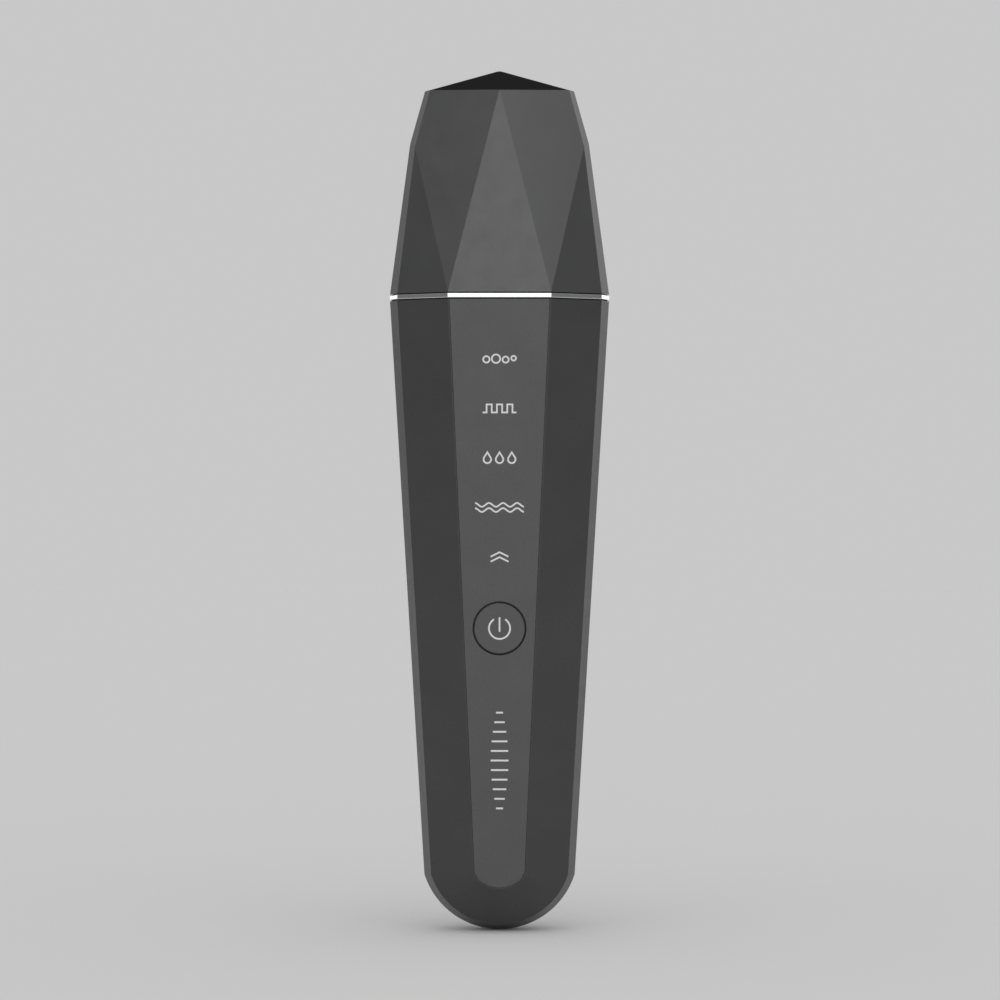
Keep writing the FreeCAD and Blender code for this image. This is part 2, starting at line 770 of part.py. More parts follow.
def build_front_shell():
    """Front half with the seat of the panel, the light windows and the button hole."""
    outer = handle_form("front_outer", 0.0, 0.0, TOP, face=-1)
    skin = cut_away("front_skin", outer, [cavity_front])
    boss = cylinder("front_low_boss", frame(0, -10.5, LOW_SCREW[1], "rear"),
                    f"{cell('boss_diameter')} + 0.6", "9.9")
    boss_trim = shared("front_boss", [boss, handle_form("front_inner", 0.8, 1.6, TOP, face=-1)])
    solid = joined("front_solid", [skin, boss_trim])
    groove_slab = centred_box("groove_slab", frame(0, -size("lip_groove_height") / 2, -1),
                              f"2.4 * {cell('blank_half_width')}",
                              cell("lip_groove_height"), f"{cell('handle_length')} + 3")
    tools = [shared("lip_groove", [groove_form, groove_slab]), panel_recess()]
    button_hole = cylinder("floor_button_hole", panel_frame(size("button_height"), 4.0),
                           cell("button_hole_diameter"), "6")
    tools.append(button_hole)
    for index, height in enumerate(MODE_HEIGHTS):
        window = centred_box(f"light_window_{index}", panel_frame(height, 4.0),
                             cell("mode_window_width"), cell("mode_window_height"), "6")
        tools.append(window)
    for index, (x, z) in enumerate([LOW_SCREW] + HIGH_SCREWS):
        depth = half_depth(z)
        shaft = cylinder(f"screw_hole_{index}", frame(x, -depth - 1, z, "rear"),
                         f"{cell('shell_screw_diameter')} + {cell('screw_hole_play')}", "12")
        head = cylinder(f"head_seat_{index}", frame(x, -depth - 1, z, "rear"),
                        f"{cell('shell_screw_head')} + {cell('screw_hole_play')}",
                        f"2 + {cell('shell_screw_head_height')} + 0.1")
        if index > 0:
            head.setExpression("Height", f"2 + {cell('shell_screw_head_height')} - 0.3")
        tools += [shaft, head]
    return cut_away("front_shell", solid, tools)


# ---------------------------------------------------------------- panel, button and lights
def build_front_panel():
    """Flush front panel with the hole of the button."""
    body = new_body("front_panel", panel_frame())
    edge = size("panel_edge_land") + size("panel_clearance")
    outline_block(body, "plate", FreeCAD.Placement(), panel_outline(edge, TOP),
                  f"{cell('panel_thickness')} - 0.02", inwards=True)
    disc(body, "button_hole", frame(0, size("button_height"), 1.0),
         cell("button_hole_diameter"), "4.0", cut=True, inwards=True)
    return body


def build_power_button():
    """Round button: face, retaining flange and the post over the switch."""
    body = new_body("power_button", panel_frame(size("button_height")))
    reach = f"{cell('floor_inset')} + {cell('button_flange_gap')}"
    full = f"({reach} + {cell('button_flange_thickness')})"
    disc(body, "face", FreeCAD.Placement(), cell("button_diameter"), full, inwards=True)
    flange_depth = (size("floor_inset") + size("button_flange_gap")
                    + size("button_flange_thickness"))
    disc(body, "flange", frame(0, 0, -flange_depth), cell("button_flange_diameter"),
         cell("button_flange_thickness"))
    post_depth = half_depth(size("button_height")) + stem_top() - size("button_post_gap")
    body_depth = post_depth - flange_depth
    disc(body, "post", frame(0, 0, -flange_depth), cell("button_post_diameter"),
         str(round(body_depth, 4)), inwards=True)
    face = size("button_diameter") / 2

    def front_rim(edge):
        circle = edge.Curve
        return (isinstance(circle, Part.Circle) and abs(circle.Radius - face) < 0.01
                and abs(circle.Center.z) < 0.01)

    dress(body, "Fillet", front_rim, cell("button_edge_radius"))
    return body


def stem_top():
    """Y position of the top of the switch stem."""
    return size("board_front") - size("switch_body_height") - size("stem_height")


def build_power_switch():
    """Tact switch body with four legs, centred where the button's axis enters it."""
    height = size("button_height")
    case_top = size("board_front") - size("switch_body_height")
    entry = panel_frame(height, half_depth(height) + case_top).Base
    body = new_body("power_switch", frame(0, size("board_front"), entry.z, "front"))
    block(body, "case", frame(0, 0, 0), cell("switch_width"), cell("switch_width"),
          cell("switch_body_height"))
    dress(body, "Chamfer", lambda edge: abs(edge.tangentAt(edge.FirstParameter).z) > 0.9, "0.5")
    for index, x in enumerate((-2.25, 2.25)):
        block(body, f"legs_{index}", frame(x, 0, 0), "0.7", f"{cell('switch_width')} + 2.0",
              "0.5")
    disc(body, "bore", frame(0, 0, size("switch_body_height")),
         f"{cell('stem_diameter')} + 0.16", "1.0", cut=True, inwards=True)
    return body


def build_switch_stem():
    """Moving stem of the tact switch."""
    depth = half_depth(size("button_height")) + stem_top()
    body = new_body("switch_stem", panel_frame(size("button_height"), depth))
    disc(body, "stem", frame(0, 0, 0), cell("stem_diameter"),
         f"{cell('stem_height')} + 0.5", inwards=True)
    return body


def build_mode_diffusers():
    """Five milky blocks in the windows behind the panel."""
    blocks = []
    for index, height in enumerate(MODE_HEIGHTS):
        body = new_body(f"mode_diffuser_{index}", panel_frame(height, size("panel_thickness")))
        block(body, "block", frame(0, 0, 0), cell("diffuser_width"), cell("diffuser_height"),
              cell("diffuser_thickness"), inwards=True)
        blocks.append(body)
    return group("mode_diffusers", blocks)


def build_mode_leds():
    """Five surface-mounted lights on the front of the board."""
    lights = []
    for index, height in enumerate(MODE_HEIGHTS):
        place = frame(0, size("board_front"), height, "front")
        lights.append(centred_box(f"mode_led_{index}", place, cell("led_length"),
                                  cell("led_width"), cell("led_thickness")))
    return group("mode_leds", lights)


def build_light_baffle():
    """Black frame that keeps the light of each mode apart."""
    middle = MODE_HEIGHTS[2]
    body = new_body("light_baffle", frame(0, size("board_front"), middle, "front"))
    block(body, "frame", frame(0, 0, 0), cell("baffle_width"), cell("baffle_height"),
          cell("baffle_depth"))
    for index, height in enumerate(MODE_HEIGHTS):
        block(body, f"cell_{index}", frame(0, height - middle, -1.0),
              cell("baffle_cell_width"), cell("baffle_cell_height"), "10.0", cut=True)
    return body


# ---------------------------------------------------------------- ring, neck and blade
def build_trim_ring():
    """Polished ring between handle and cap, with a flange set back to make two fine gaps."""
    body = new_body("trim_ring", frame(0, 0, TOP))
    lift = size("ring_bottom") - TOP
    outline_block(body, "band", frame(0, 0, lift), ring_outline(0.0), cell("ring_height"))
    dress(body, "Fillet", lambda edge: edge.BoundBox.ZLength < 0.01, cell("ring_edge_radius"))
    outline_block(body, "flange", frame(0, 0, 0), ring_outline(size("ring_flange_inset")),
                  cell("ring_flange_height"))
    outline_block(body, "hole", frame(0, 0, -1), ring_outline(size("ring_hole_inset")),
                  "5.0", cut=True)
    return body


def build_neck():
    """Block that closes the handle and carries the blade and the cap."""
    bottom = size("neck_bottom")
    plug_front = handle_form("neck_plug", size("neck_inset"), size("neck_front_inset"), TOP)
    plug = shared("neck_plug_trimmed", [plug_front, slab("neck_plug_slab", bottom, TOP)])
    step = new_body("neck_step", frame(0, 0, TOP - 0.5))
    step_inset = size("neck_step_inset")
    outline_block(step, "step", frame(0, 0, 0), ring_outline(step_inset, step_inset + 0.2), "3.0")
    head = cap_form("neck_head", size("neck_cap_inset"), size("cap_bottom") + 0.8,
                    size("neck_top"))
    top = size("neck_top")

    def top_rim(edge):
        box = edge.BoundBox
        return box.ZLength < 0.01 and abs(box.ZMax - top) < 0.01

    dress(head, "Chamfer", top_rim, cell("neck_edge_chamfer"))
    solid = joined("neck_solid", [plug, step, head])
    middle = size("blade_offset")
    slot = centred_box("neck_slot", frame(0, middle, bottom - 1), cell("neck_slot_width"),
                       cell("neck_slot_depth"), "30")
    seat = centred_box("boot_seat", frame(0, middle, top - size("boot_seat_depth")),
                       cell("boot_width"), cell("boot_depth"), "10")
    core = centred_box("neck_core", frame(0, -size("neck_core_offset"), bottom - 1),
                       cell("neck_core_width"), cell("neck_core_depth"),
                       f"{cell('neck_core_rise')} + 1")
    groove_slab = slab("seal_slab", size("seal_bottom"),
                       size("seal_bottom") + size("seal_height"))
    groove_core = cap_form("seal_core", size("seal_inner_inset"), size("cap_bottom"),
                           size("neck_top"))
    groove = cut_away("seal_groove", groove_slab, [groove_core])
    tools = [slot, seat, core, groove]
    for index, (x, z) in enumerate(HIGH_SCREWS):
        tools.append(cylinder(f"neck_screw_hole_{index}", frame(x, -14, z, "rear"),
                              f"{cell('shell_screw_diameter')} + {cell('screw_hole_play')}",
                              "28"))
        tools.append(cylinder(f"neck_boss_seat_{index}", frame(x, 4.4, z, "rear"),
                              f"{cell('boss_diameter')} + 0.2", "8"))
        side = 1 if x > 0 else -1
        place = frame(side * size("holder_screw_offset"), HOLDER_SCREW_Y, bottom - 1)
        tools.append(cylinder(f"holder_pilot_{index}", place,
                              f"{cell('holder_screw_diameter')} + {cell('pilot_play')}",
                              f"{cell('holder_screw_length')} - 0.8"))
    return cut_away("neck", solid, tools)


def build_cap_seal():
    """Soft band round the neck that grips the cap."""
    low = size("seal_bottom") + 0.02
    high = size("seal_bottom") + size("seal_height") - 0.02
    band = cap_form("seal_band", size("seal_outer_inset"), low, high)
    core = cap_form("seal_hole", size("seal_inner_inset") - 0.02, size("cap_bottom"),
                    size("neck_top"))
    return cut_away("cap_seal", band, [core])


def build_blade_boot():
    """Silicone seal round the blade where it leaves the neck."""
    low = size("neck_top") - size("boot_seat_depth")
    body = new_body("blade_boot", frame(0, size("blade_offset"), low))
    block(body, "plug", frame(0, 0, 0), f"{cell('boot_width')} - 0.04",
          f"{cell('boot_depth')} - 0.04", cell("boot_seat_depth"))
    block(body, "rim", frame(0, 0, size("boot_seat_depth")),
          f"{cell('shank_width')} + 2 * {cell('boot_rim')}",
          f"{cell('blade_thickness')} + 1.6 * {cell('boot_rim')}", cell("boot_rise"))
    block(body, "slot", frame(0, 0, -1), f"{cell('shank_width')} + 0.04",
          f"{cell('blade_thickness')} + 0.04", "12.0", cut=True)
    return body


def build_blade():
    """Bent spatula: a narrow shank that flares to a wide tip."""
    body = new_body("blade", frame(0, size("blade_offset"), size("blade_bottom")))
    rise = size("blade_straight_top") - size("blade_bottom")
    half = size("blade_thickness") / 2
    turn = math.radians(size("blade_bend_angle"))
    bend = size("blade_bend_radius")
    tip = size("blade_tip_length")
    steps = 6
    rear = [(half, 0.0)]
    front = [(-half, 0.0)]
    for index in range(steps + 1):
        angle = turn * index / steps
        for points, radius in ((rear, bend + half), (front, bend - half)):
            points.append((-bend + radius * math.cos(angle), rise + radius * math.sin(angle)))
    direction = (-math.sin(turn), math.cos(turn))
    end_rear = (rear[-1][0] + tip * direction[0], rear[-1][1] + tip * direction[1])
    end_front = (front[-1][0] + tip * direction[0], front[-1][1] + tip * direction[1])
    edge_thickness = 0.6 * size("blade_thickness")
    bevel = (end_rear[0] - edge_thickness * math.cos(turn),
             end_rear[1] - edge_thickness * math.sin(turn))
    reach = size("blade_tip_bevel")
    back = (end_front[0] - reach * direction[0], end_front[1] - reach * direction[1])
    profile = rear + [end_rear, bevel, back] + list(reversed(front))
    outline_block(body, "profile", frame(0, 0, 0, "right"), profile, cell("blade_width"),
                  midplane=True)
    shank = size("shank_width") / 2
    wide = size("blade_width") / 2
    low = (size("neck_top") + size("boot_rise") + size("blade_flare_gap")
           - size("blade_bottom"))
    high = low + size("blade_flare_height")
    far = wide + 10
    for side, name in ((1, "right"), (-1, "left")):
        points = [(side * shank, -2), (side * shank, low), (side * (shank + 1.2), low + 1.9),
                  (side * (wide - 1.4), high - 1.6), (side * wide, high),
                  (side * far, high), (side * far, -2)]
        outline_block(body, f"{name}_flank", frame(0, 20, 0, "front"), points, "40.0",
                      cut=True)
    top = max(point[1] for point in profile)
    round_off = size("blade_corner_radius")
    for side, name in ((1, "right"), (-1, "left")):
        points = [(side * (wide + 5), top + 5), (side * (wide - round_off), top + 5)]
        for index in range(9):
            angle = math.pi / 2 * (1 - index / 8)
            points.append((side * (wide - round_off + round_off * math.cos(angle)),
                           top - round_off + round_off * math.sin(angle)))
        points.append((side * (wide + 5), top - round_off))
        outline_block(body, f"{name}_corner", frame(0, 20, 0, "front"), points, "40.0",
                      cut=True)
    return body


def build_piezo_plate():
    """Ceramic plate bonded to the rear of the shank."""
    y = size("blade_offset") + size("blade_thickness") / 2
    body = new_body("piezo_plate", frame(0, y, size("piezo_middle"), "rear"))
    block(body, "plate", frame(0, 0, 0), cell("piezo_width"), cell("piezo_height"),
          cell("piezo_thickness"))
    return body


def build_transducer_holder():
    """Tray behind the shank, with end slots and two ears for its screws."""
    low = size("holder_bottom")
    high = size("holder_top")
    front = size("holder_front")
    depth = size("holder_rear") - front
    body = new_body("transducer_holder", frame(0, front, low))
    middle = depth / 2
    block(body, "tray", frame(0, middle, 0), cell("holder_width"), str(depth),
          str(round(high - low, 4)))
    wall = size("holder_wall")
    block(body, "pocket", frame(0, (depth - wall) / 2 - 0.5, wall),
          f"{cell('holder_width')} - 2 * {cell('holder_wall')}", str(round(depth - wall + 1, 4)),
          str(round(high - low - 2 * wall, 4)), cut=True)
    block(body, "slot", frame(0, size("blade_offset") - front - 2.4, -1),
          f"{cell('shank_width')} + 0.8", "6.0", "40.0", cut=True)
    block(body, "wire_notch", frame(0, 5.2, -1), "9.0", "2.2", "4.0", cut=True)
    for side, name in ((1, "right"), (-1, "left")):
        x = side * (size("holder_width") / 2 + 2.6)
        ear_bottom = high - low - size("holder_ear_height")
        block(body, f"{name}_ear", frame(x, HOLDER_SCREW_Y - front, ear_bottom), "6.4", "4.4",
              cell("holder_ear_height"))
        x = side * size("holder_screw_offset")
        disc(body, f"{name}_ear_hole", frame(x, HOLDER_SCREW_Y - front, ear_bottom - 1.0),
             f"{cell('holder_screw_diameter')} + {cell('screw_hole_play')}", "6.0", cut=True)
    return body


def build_damper_pads():
    """Two silicone pads that carry the shank at its still points."""
    pads = []
    heights = (size("holder_bottom") + size("holder_wall") + 0.1,
               size("holder_top") - size("holder_wall") - size("damper_height") - 0.1)
    for index, height in enumerate(heights):
        y = size("blade_offset")
        body = new_body(f"damper_pad_{index}", frame(0, y, height))
        block(body, "pad", frame(0, -0.1, 0), f"{cell('shank_width')} + 1.8",
              cell("damper_depth"), cell("damper_height"))
        block(body, "slot", frame(0, 0, -1), f"{cell('shank_width')} + 0.02",
              f"{cell('blade_thickness')} + 0.02", "6.0", cut=True)
        pads.append(body)
    return group("damper_pads", pads)


# ---------------------------------------------------------------- cap
def build_cap_shell():
    """Faceted cap with an open lower end and a seat for the crown."""
    top = size("cap_top_height")
    body = cap_form("cap_outer", 0.0, size("cap_bottom"), top)
    cavity = cap_form("cap_cavity", size("cap_wall"), size("cap_bottom") - 1.0,
                      top - size("cap_roof"))
    seat = cap_form("crown_seat", size("crown_seat_inset"), top - size("crown_seat_depth"),
                    top + 1.0)
    return cut_away("cap_shell", body, [cavity, seat])


def build_cap_crown():
    """Low pyramid with a plug that fits the seat in the cap."""
    top = size("cap_top_height")
    points = cap_points()
    peak = Vector(0, 0, size("crown_top"))
    body = new_body("crown_pyramid")
    block(body, "blank", frame(0, 0, top), f"2 * {cell('blank_half_width')}",
          f"2 * {cell('blank_half_depth')}", f"{cell('crown_top')} - {cell('cap_top_height')}")
    apex = points["apex"]
    corner = points["corner"]
    tip = (points["tip"][0], points["tip"][1], top)
    for face in (-1, 1):
        for side in (-1, 1):
            for name, first, second in (("face", apex, corner), ("bevel", corner, tip)):
                chosen = mirrored([first, second], side, face) + [peak]
                cut_facet(body, f"{name}_{side + 1}_{face + 1}", chosen, 0.0)
    for side in (-1, 1):
        chosen = mirrored([tip, (tip[0], -tip[1], tip[2])], side, 1) + [peak]
        cut_facet(body, f"end_{side + 1}", chosen, 0.0)
    plug = cap_form("crown_plug", size("crown_plug_inset"), top - size("crown_plug_depth"), top)
    return joined("cap_crown", [body, plug])


# ---------------------------------------------------------------- board and electronics
def build_main_board():
    """Printed circuit board that follows the taper of the handle."""
    body = new_body("main_board", frame(0, BOARD_REAR, 0, "front"))
    right = [(5.4, 4.7), (9.4, 8.6), (11.4, 16.0), (13.4, 34.0), (15.4, 90.0), (15.4, 127.0)]
    outline = right + [(-x, z) for x, z in reversed(right)]
    outline_block(body, "plate", frame(0, 0, 0), outline, cell("board_thickness"))
    for index, (x, z) in enumerate(BOARD_SCREWS):
        disc(body, f"screw_hole_{index}", frame(x, z, -1),
             f"{cell('board_screw_diameter')} + {cell('screw_hole_play')}", "4.0", cut=True)
    disc(body, "boss_hole", frame(LOW_SCREW[0], LOW_SCREW[1], -1),
         f"{cell('boss_diameter')} + 1.2", "4.0", cut=True)
    return body


def build_usb_socket():
    """Charging receptacle: a thin rounded shell, a rear block and a contact tongue."""
    body = new_body("usb_socket", frame(0, size("usb_offset"), size("usb_mouth_height")))
    width = cell("usb_shell_width")
    thickness = cell("usb_shell_thickness")
    block(body, "shell", frame(0, 0, 0), width, thickness, cell("usb_shell_depth"))
    dress(body, "Fillet", lambda edge: abs(edge.tangentAt(edge.FirstParameter).z) > 0.9,
          f"{thickness} * 0.42")
    block(body, "opening", frame(0, 0, -1), f"{width} - 1.9", f"{thickness} - 0.6",
          f"{cell('usb_shell_depth')} - 0.6", cut=True)
    for side, name in ((1, "right"), (-1, "left")):
        x = side * (size("usb_shell_width") / 2 - 1.2)
        disc(body, f"{name}_round", frame(x, 0, -1), "1.7", f"{cell('usb_shell_depth')} - 0.6",
             cut=True)
    block(body, "tongue", frame(0, 0, 1.0), "6.7", "0.7", f"{cell('usb_shell_depth')} - 1.2")
    return body


def build_battery_cell():
    """Flat lithium cell with rounded long edges."""
    y = BOARD_REAR + size("tray_thickness") + size("pad_thickness")
    place = frame(0, y + size("battery_thickness") / 2, size("battery_bottom"))
    body = new_body("battery_cell", place)
    block(body, "cell", frame(0, 0, 0), cell("battery_width"), cell("battery_thickness"),
          cell("battery_height"))
    dress(body, "Fillet", lambda edge: abs(edge.tangentAt(edge.FirstParameter).z) > 0.9,
          cell("battery_edge_radius"))
    return body


def build_battery_pad():
    """Foam tape between the tray and the cell."""
    y = BOARD_REAR + size("tray_thickness")
    body = new_body("battery_pad", frame(0, y, size("battery_bottom") + 2.0, "rear"))
    block(body, "tape", frame(0, 20.0, 0), f"{cell('battery_width')} - 5.0",
          f"{cell('battery_height')} - 8.0", cell("pad_thickness"))
    return body


def build_battery_tray():
    """Tray behind the board, with side walls round the cell and four screw ears."""
    low = size("tray_bottom")
    high = size("tray_top")
    body = new_body("battery_tray", frame(0, BOARD_REAR, 0, "rear"))
    middle = (low + high) / 2
    block(body, "floor", frame(0, middle, 0), cell("tray_width"),
          f"{cell('tray_top')} - {cell('tray_bottom')}", cell("tray_thickness"))
    for side, name in ((1, "right"), (-1, "left")):
        x = side * (size("tray_width") / 2 - size("tray_wall") / 2)
        block(body, f"{name}_wall", frame(x, middle, 0), cell("tray_wall"),
              f"{cell('tray_top')} - {cell('tray_bottom')} - 8.0",
              f"{cell('tray_thickness')} + {cell('tray_wall_depth')}")
    block(body, "foot_wall", frame(0, low + 0.5, 0), "14.0", cell("tray_wall"),
          f"{cell('tray_thickness')} + {cell('tray_wall_depth')}")
    for index, (x, z) in enumerate(BOARD_SCREWS):
        inner = size("tray_width") / 2 - 1.0
        reach = abs(x) + 2.1
        centre = (reach + inner) / 2 * (1 if x > 0 else -1)
        outline_z = z + (1.8 if z < middle else -1.8)
        block(body, f"ear_{index}", frame(-centre, outline_z, 0), str(round(reach - inner, 4)),
              "7.6", cell("tray_thickness"))
        disc(body, f"ear_hole_{index}", frame(-x, z, -1),
             f"{cell('board_screw_diameter')} + {cell('screw_hole_play')}", "4.0", cut=True)
    return body


def chip(label, x, z, width, height, thickness, facing):
    """Flat package on one side of the board."""
    y = size("board_front") if facing == "front" else BOARD_REAR
    body = new_body(label, frame(x, y, z, facing))
    block(body, "package", frame(0, 0, 0), str(width), str(height), str(thickness))
    dress(body, "Chamfer", lambda edge: abs(edge.tangentAt(edge.FirstParameter).z) > 0.9, "0.2")
    return body


def build_driver_transformer():
    """Ferrite core with a round winding between its two plates."""
    body = new_body("driver_transformer",
                    frame(0, BOARD_REAR, size("transformer_level"), "rear"))
    width = cell("transformer_width")
    length = cell("transformer_length")
    plate = size("transformer_plate")
    for name, rise in (("foot", 0.0), ("head", plate + size("winding_height"))):
        block(body, f"{name}_plate", frame(0, 0, rise), width, length,
              cell("transformer_plate"))
    disc(body, "winding", frame(0, 0, plate), cell("winding_diameter"), cell("winding_height"))
    leg = 1.4
    for side, name in ((1, "right"), (-1, "left")):
        x = side * (size("transformer_width") - leg) / 2
        block(body, f"{name}_leg", frame(x, 0, plate), str(leg), length, cell("winding_height"))
    return body


def build_boost_inductor():
    """Drum inductor on the rear of the board."""
    body = new_body("boost_inductor", frame(-7.0, BOARD_REAR, 21.5, "rear"))
    flange = size("inductor_flange")
    rise = flange + size("inductor_coil_height")
    disc(body, "foot", frame(0, 0, 0), cell("inductor_head_diameter"), cell("inductor_flange"))
    disc(body, "coil", frame(0, 0, flange), cell("inductor_coil_diameter"),
         cell("inductor_coil_height"))
    disc(body, "head", frame(0, 0, rise), cell("inductor_head_diameter"),
         cell("inductor_flange"))
    return body


def build_capacitors():
    """Two can capacitors beside the transformer."""
    cans = []
    for index, side in enumerate((-1, 1)):
        place = frame(side * size("capacitor_offset"), BOARD_REAR, size("capacitor_level"),
                      "rear")
        body = new_body(f"capacitor_{index}", place)
        block(body, "base", frame(0, 0, 0), cell("capacitor_base"), cell("capacitor_base"),
              cell("capacitor_base_height"))
        disc(body, "can", frame(0, 0, size("capacitor_base_height")),
             cell("capacitor_diameter"), cell("capacitor_height"))
        cans.append(body)
    return group("capacitors", cans)


def build_board_parts():
    """Small resistors and capacitors on the front of the board."""
    spots = [(-7.5, 56), (-4.0, 56), (4.0, 56), (7.5, 56), (-8.5, 44), (8.5, 44),
             (-6.0, 20), (0.0, 20), (6.0, 20), (-11.0, 76), (11.0, 76), (-11.0, 116),
             (11.0, 116)]
    parts = []
    for index, (x, z) in enumerate(spots):
        place = frame(x, size("board_front"), z, "front")
        parts.append(centred_box(f"board_part_{index}", place, cell("board_part_length"),
                                 cell("board_part_width"), cell("board_part_thickness")))
    return group("board_parts", parts)


# ---------------------------------------------------------------- screws, leads and contact
def screw(label, place, diameter, length, head, head_height):
    """Pan-head screw; its placement is under the head, with Z along the shaft."""
    body = new_body(label, place)
    disc(body, "head", frame(0, 0, 0), head, head_height, inwards=True)
    disc(body, "shaft", frame(0, 0, 0), diameter, length)
    slot = cell("screw_slot")
    depth = -size("screw_slot")
    block(body, "cross_wide", frame(0, 0, depth), f"{head} * 0.55", slot, "3.0",
          cut=True, inwards=True)
    block(body, "cross_tall", frame(0, 0, depth), slot, f"{head} * 0.55", "3.0",
          cut=True, inwards=True)
    return body


def build_shell_screws():
    """Three screws hidden under the front panel."""
    screws = []
    for index, (x, z) in enumerate([LOW_SCREW] + HIGH_SCREWS):
        depth = half_depth(z)
        under_head = -depth + 1.0 + size("shell_screw_head_height") + (0.1 if index == 0 else -0.3)
        length = cell("low_screw_length") if index == 0 else cell("high_screw_length")
        screws.append(screw(f"shell_screw_{index}", frame(x, under_head, z, "rear"),
                            cell("shell_screw_diameter"), length,
                            cell("shell_screw_head"), cell("shell_screw_cap_height")))
    return group("shell_screws", screws)


def build_board_screws():
    """Four screws through board and tray into the posts of the rear shell."""
    screws = []
    for index, (x, z) in enumerate(BOARD_SCREWS):
        screws.append(screw(f"board_screw_{index}", frame(x, size("board_front"), z, "rear"),
                            cell("board_screw_diameter"), cell("board_screw_length"),
                            cell("board_screw_head"), cell("small_screw_head_height")))
    return group("board_screws", screws)


def build_holder_screws():
    """Two screws that hang the transducer holder from the neck."""
    screws = []
    for index, side in enumerate((-1, 1)):
        place = frame(side * size("holder_screw_offset"), HOLDER_SCREW_Y,
                      size("holder_top") - size("holder_ear_height"))
        screws.append(screw(f"holder_screw_{index}", place, cell("holder_screw_diameter"),
                            cell("holder_screw_length"), cell("board_screw_head"),
                            cell("small_screw_head_height")))
    return group("holder_screws", screws)


def wire_run(points):
    """Round wire swept along a smooth line with these control points."""
    path = Part.BSplineCurve()
    path.buildFromPoles([Vector(*point) for point in points], False, 3)
    start = path.value(path.FirstParameter)
    direction = Vector(*path.tangent(path.FirstParameter)[0])
    ring = Part.Wire([Part.Circle(start, direction, size("wire_diameter") / 2).toShape()])
    return Part.Wire([path.toShape()]).makePipeShell([ring], True, True)


def leads(label, runs):
    """Separate wires as one node, made with Part because each follows a free 3-D line."""
    feature = document.addObject("Part::Feature", label)
    feature.Label = label
    feature.Shape = Part.makeCompound([wire_run(points) for points in runs])
    feature.Placement = FreeCAD.Placement()
    return feature


def build_battery_leads():
    """Two wires from the top of the cell to the rear of the board."""
    cell_top = size("battery_bottom") + size("battery_height")
    y = BOARD_REAR + size("tray_thickness") + size("pad_thickness") + 2.5
    return leads("battery_leads", [
        [(x, y, cell_top), (x, y, cell_top + 3.0), (x, y - 0.6, cell_top + 5.8),
         (x, BOARD_REAR + 2.0, cell_top + 6.0), (x, BOARD_REAR, cell_top + 6.0)]
        for x in (-4.5, 4.5)])


def build_transducer_leads():
    """Two wires from the rear of the board to the piezo plate."""
    piezo_rear = size("blade_offset") + size("blade_thickness") / 2 + size("piezo_thickness")
    y = piezo_rear + 1.0
    low = size("holder_bottom")
    return leads("transducer_leads", [
        [(x, BOARD_REAR, low - 1.9), (x, BOARD_REAR + 3.0, low - 1.9), (x, y, low - 1.8),
         (x, y, low + 1.0), (x, y, low + 4.0), (x, y, low + 7.0), (x, y - 0.3, low + 7.2),
         (x, piezo_rear, low + 7.2)]
        for x in (-3.0, 3.0)])


def build_contact_lead():
    """One wire from the stud of the contact plate to the board."""
    inner = half_depth(94.0) - 2.4
    return leads("contact_lead", [
        [(0, inner, 94.0), (0, inner - 2.5, 94.0), (0.0, BOARD_REAR + 3.0, 94.8),
         (0.0, BOARD_REAR, 94.8)]])


def build_contact_plate():
    """Metal plate let into the rear facet, with a stud through the wall."""
    body = new_body("contact_plate", panel_frame(size("contact_middle"), rear=True))
    block(body, "plate", FreeCAD.Placement(), cell("contact_width"), cell("contact_height"),
          cell("contact_thickness"), inwards=True)
    dress(body, "Fillet", lambda edge: abs(edge.tangentAt(edge.FirstParameter).z) > 0.9,
          f"{cell('contact_corner_radius')} - {cell('contact_clearance')}")
    disc(body, "stud", frame(0, size("contact_stud_rise"), -0.4),
         cell("contact_stud_diameter"), "2.0", inwards=True)
    return body


# ---------------------------------------------------------------- build everything
NODES = [
    build_rear_shell(),
    build_front_shell(),
    build_front_panel(),
    build_power_button(),
    build_power_switch(),
    build_switch_stem(),
    build_mode_diffusers(),
    build_mode_leds(),
    build_light_baffle(),
    build_trim_ring(),
    build_neck(),
    build_cap_seal(),
    build_blade_boot(),
    build_blade(),
    build_piezo_plate(),
    build_transducer_holder(),
    build_damper_pads(),
    build_cap_shell(),
    build_cap_crown(),
    build_main_board(),
    build_usb_socket(),
    build_battery_cell(),
    build_battery_pad(),
    build_battery_tray(),
    chip("controller_chip", 0.0, 49.0, 7.0, 7.0, 1.0, "front"),
    chip("charger_chip", 7.0, 21.5, 4.0, 4.0, 0.9, "rear"),
    build_driver_transformer(),
    build_boost_inductor(),
    build_capacitors(),
    build_board_parts(),
    build_shell_screws(),
    build_board_screws(),
    build_holder_screws(),
    build_battery_leads(),
    build_transducer_leads(),
    build_contact_lead(),
    build_contact_plate(),
]
document.recompute()

failed = [item.Label for item in document.Objects
          if "Invalid" in item.State or "Error" in item.State]
if failed:
    raise RuntimeError(f"these objects failed: {failed}")
empty = [node.Label for node in NODES
         if node.Shape.isNull() or not node.Shape.isValid() or not node.Shape.Solids]
if empty:
    raise RuntimeError(f"these sub-parts have no valid solid: {empty}")

os.makedirs("parts", exist_ok=True)
for node in NODES:
    node.Shape.exportStep(f"parts/{node.Label}.step")
    box = node.Shape.BoundBox
    print(f"{node.Label:20s} solids {len(node.Shape.Solids):2d} volume {node.Shape.Volume:10.2f}"
          f" x {box.XMin:7.2f} {box.XMax:7.2f} y {box.YMin:7.2f} {box.YMax:7.2f}"
          f" z {box.ZMin:7.2f} {box.ZMax:7.2f}")
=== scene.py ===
"""Looks of the skin scrubber: materials, rounded edges, printed marks, studio and camera.

Lengths are in metres, apart from the printed marks, which are laid out in millimetres.
"""
import math

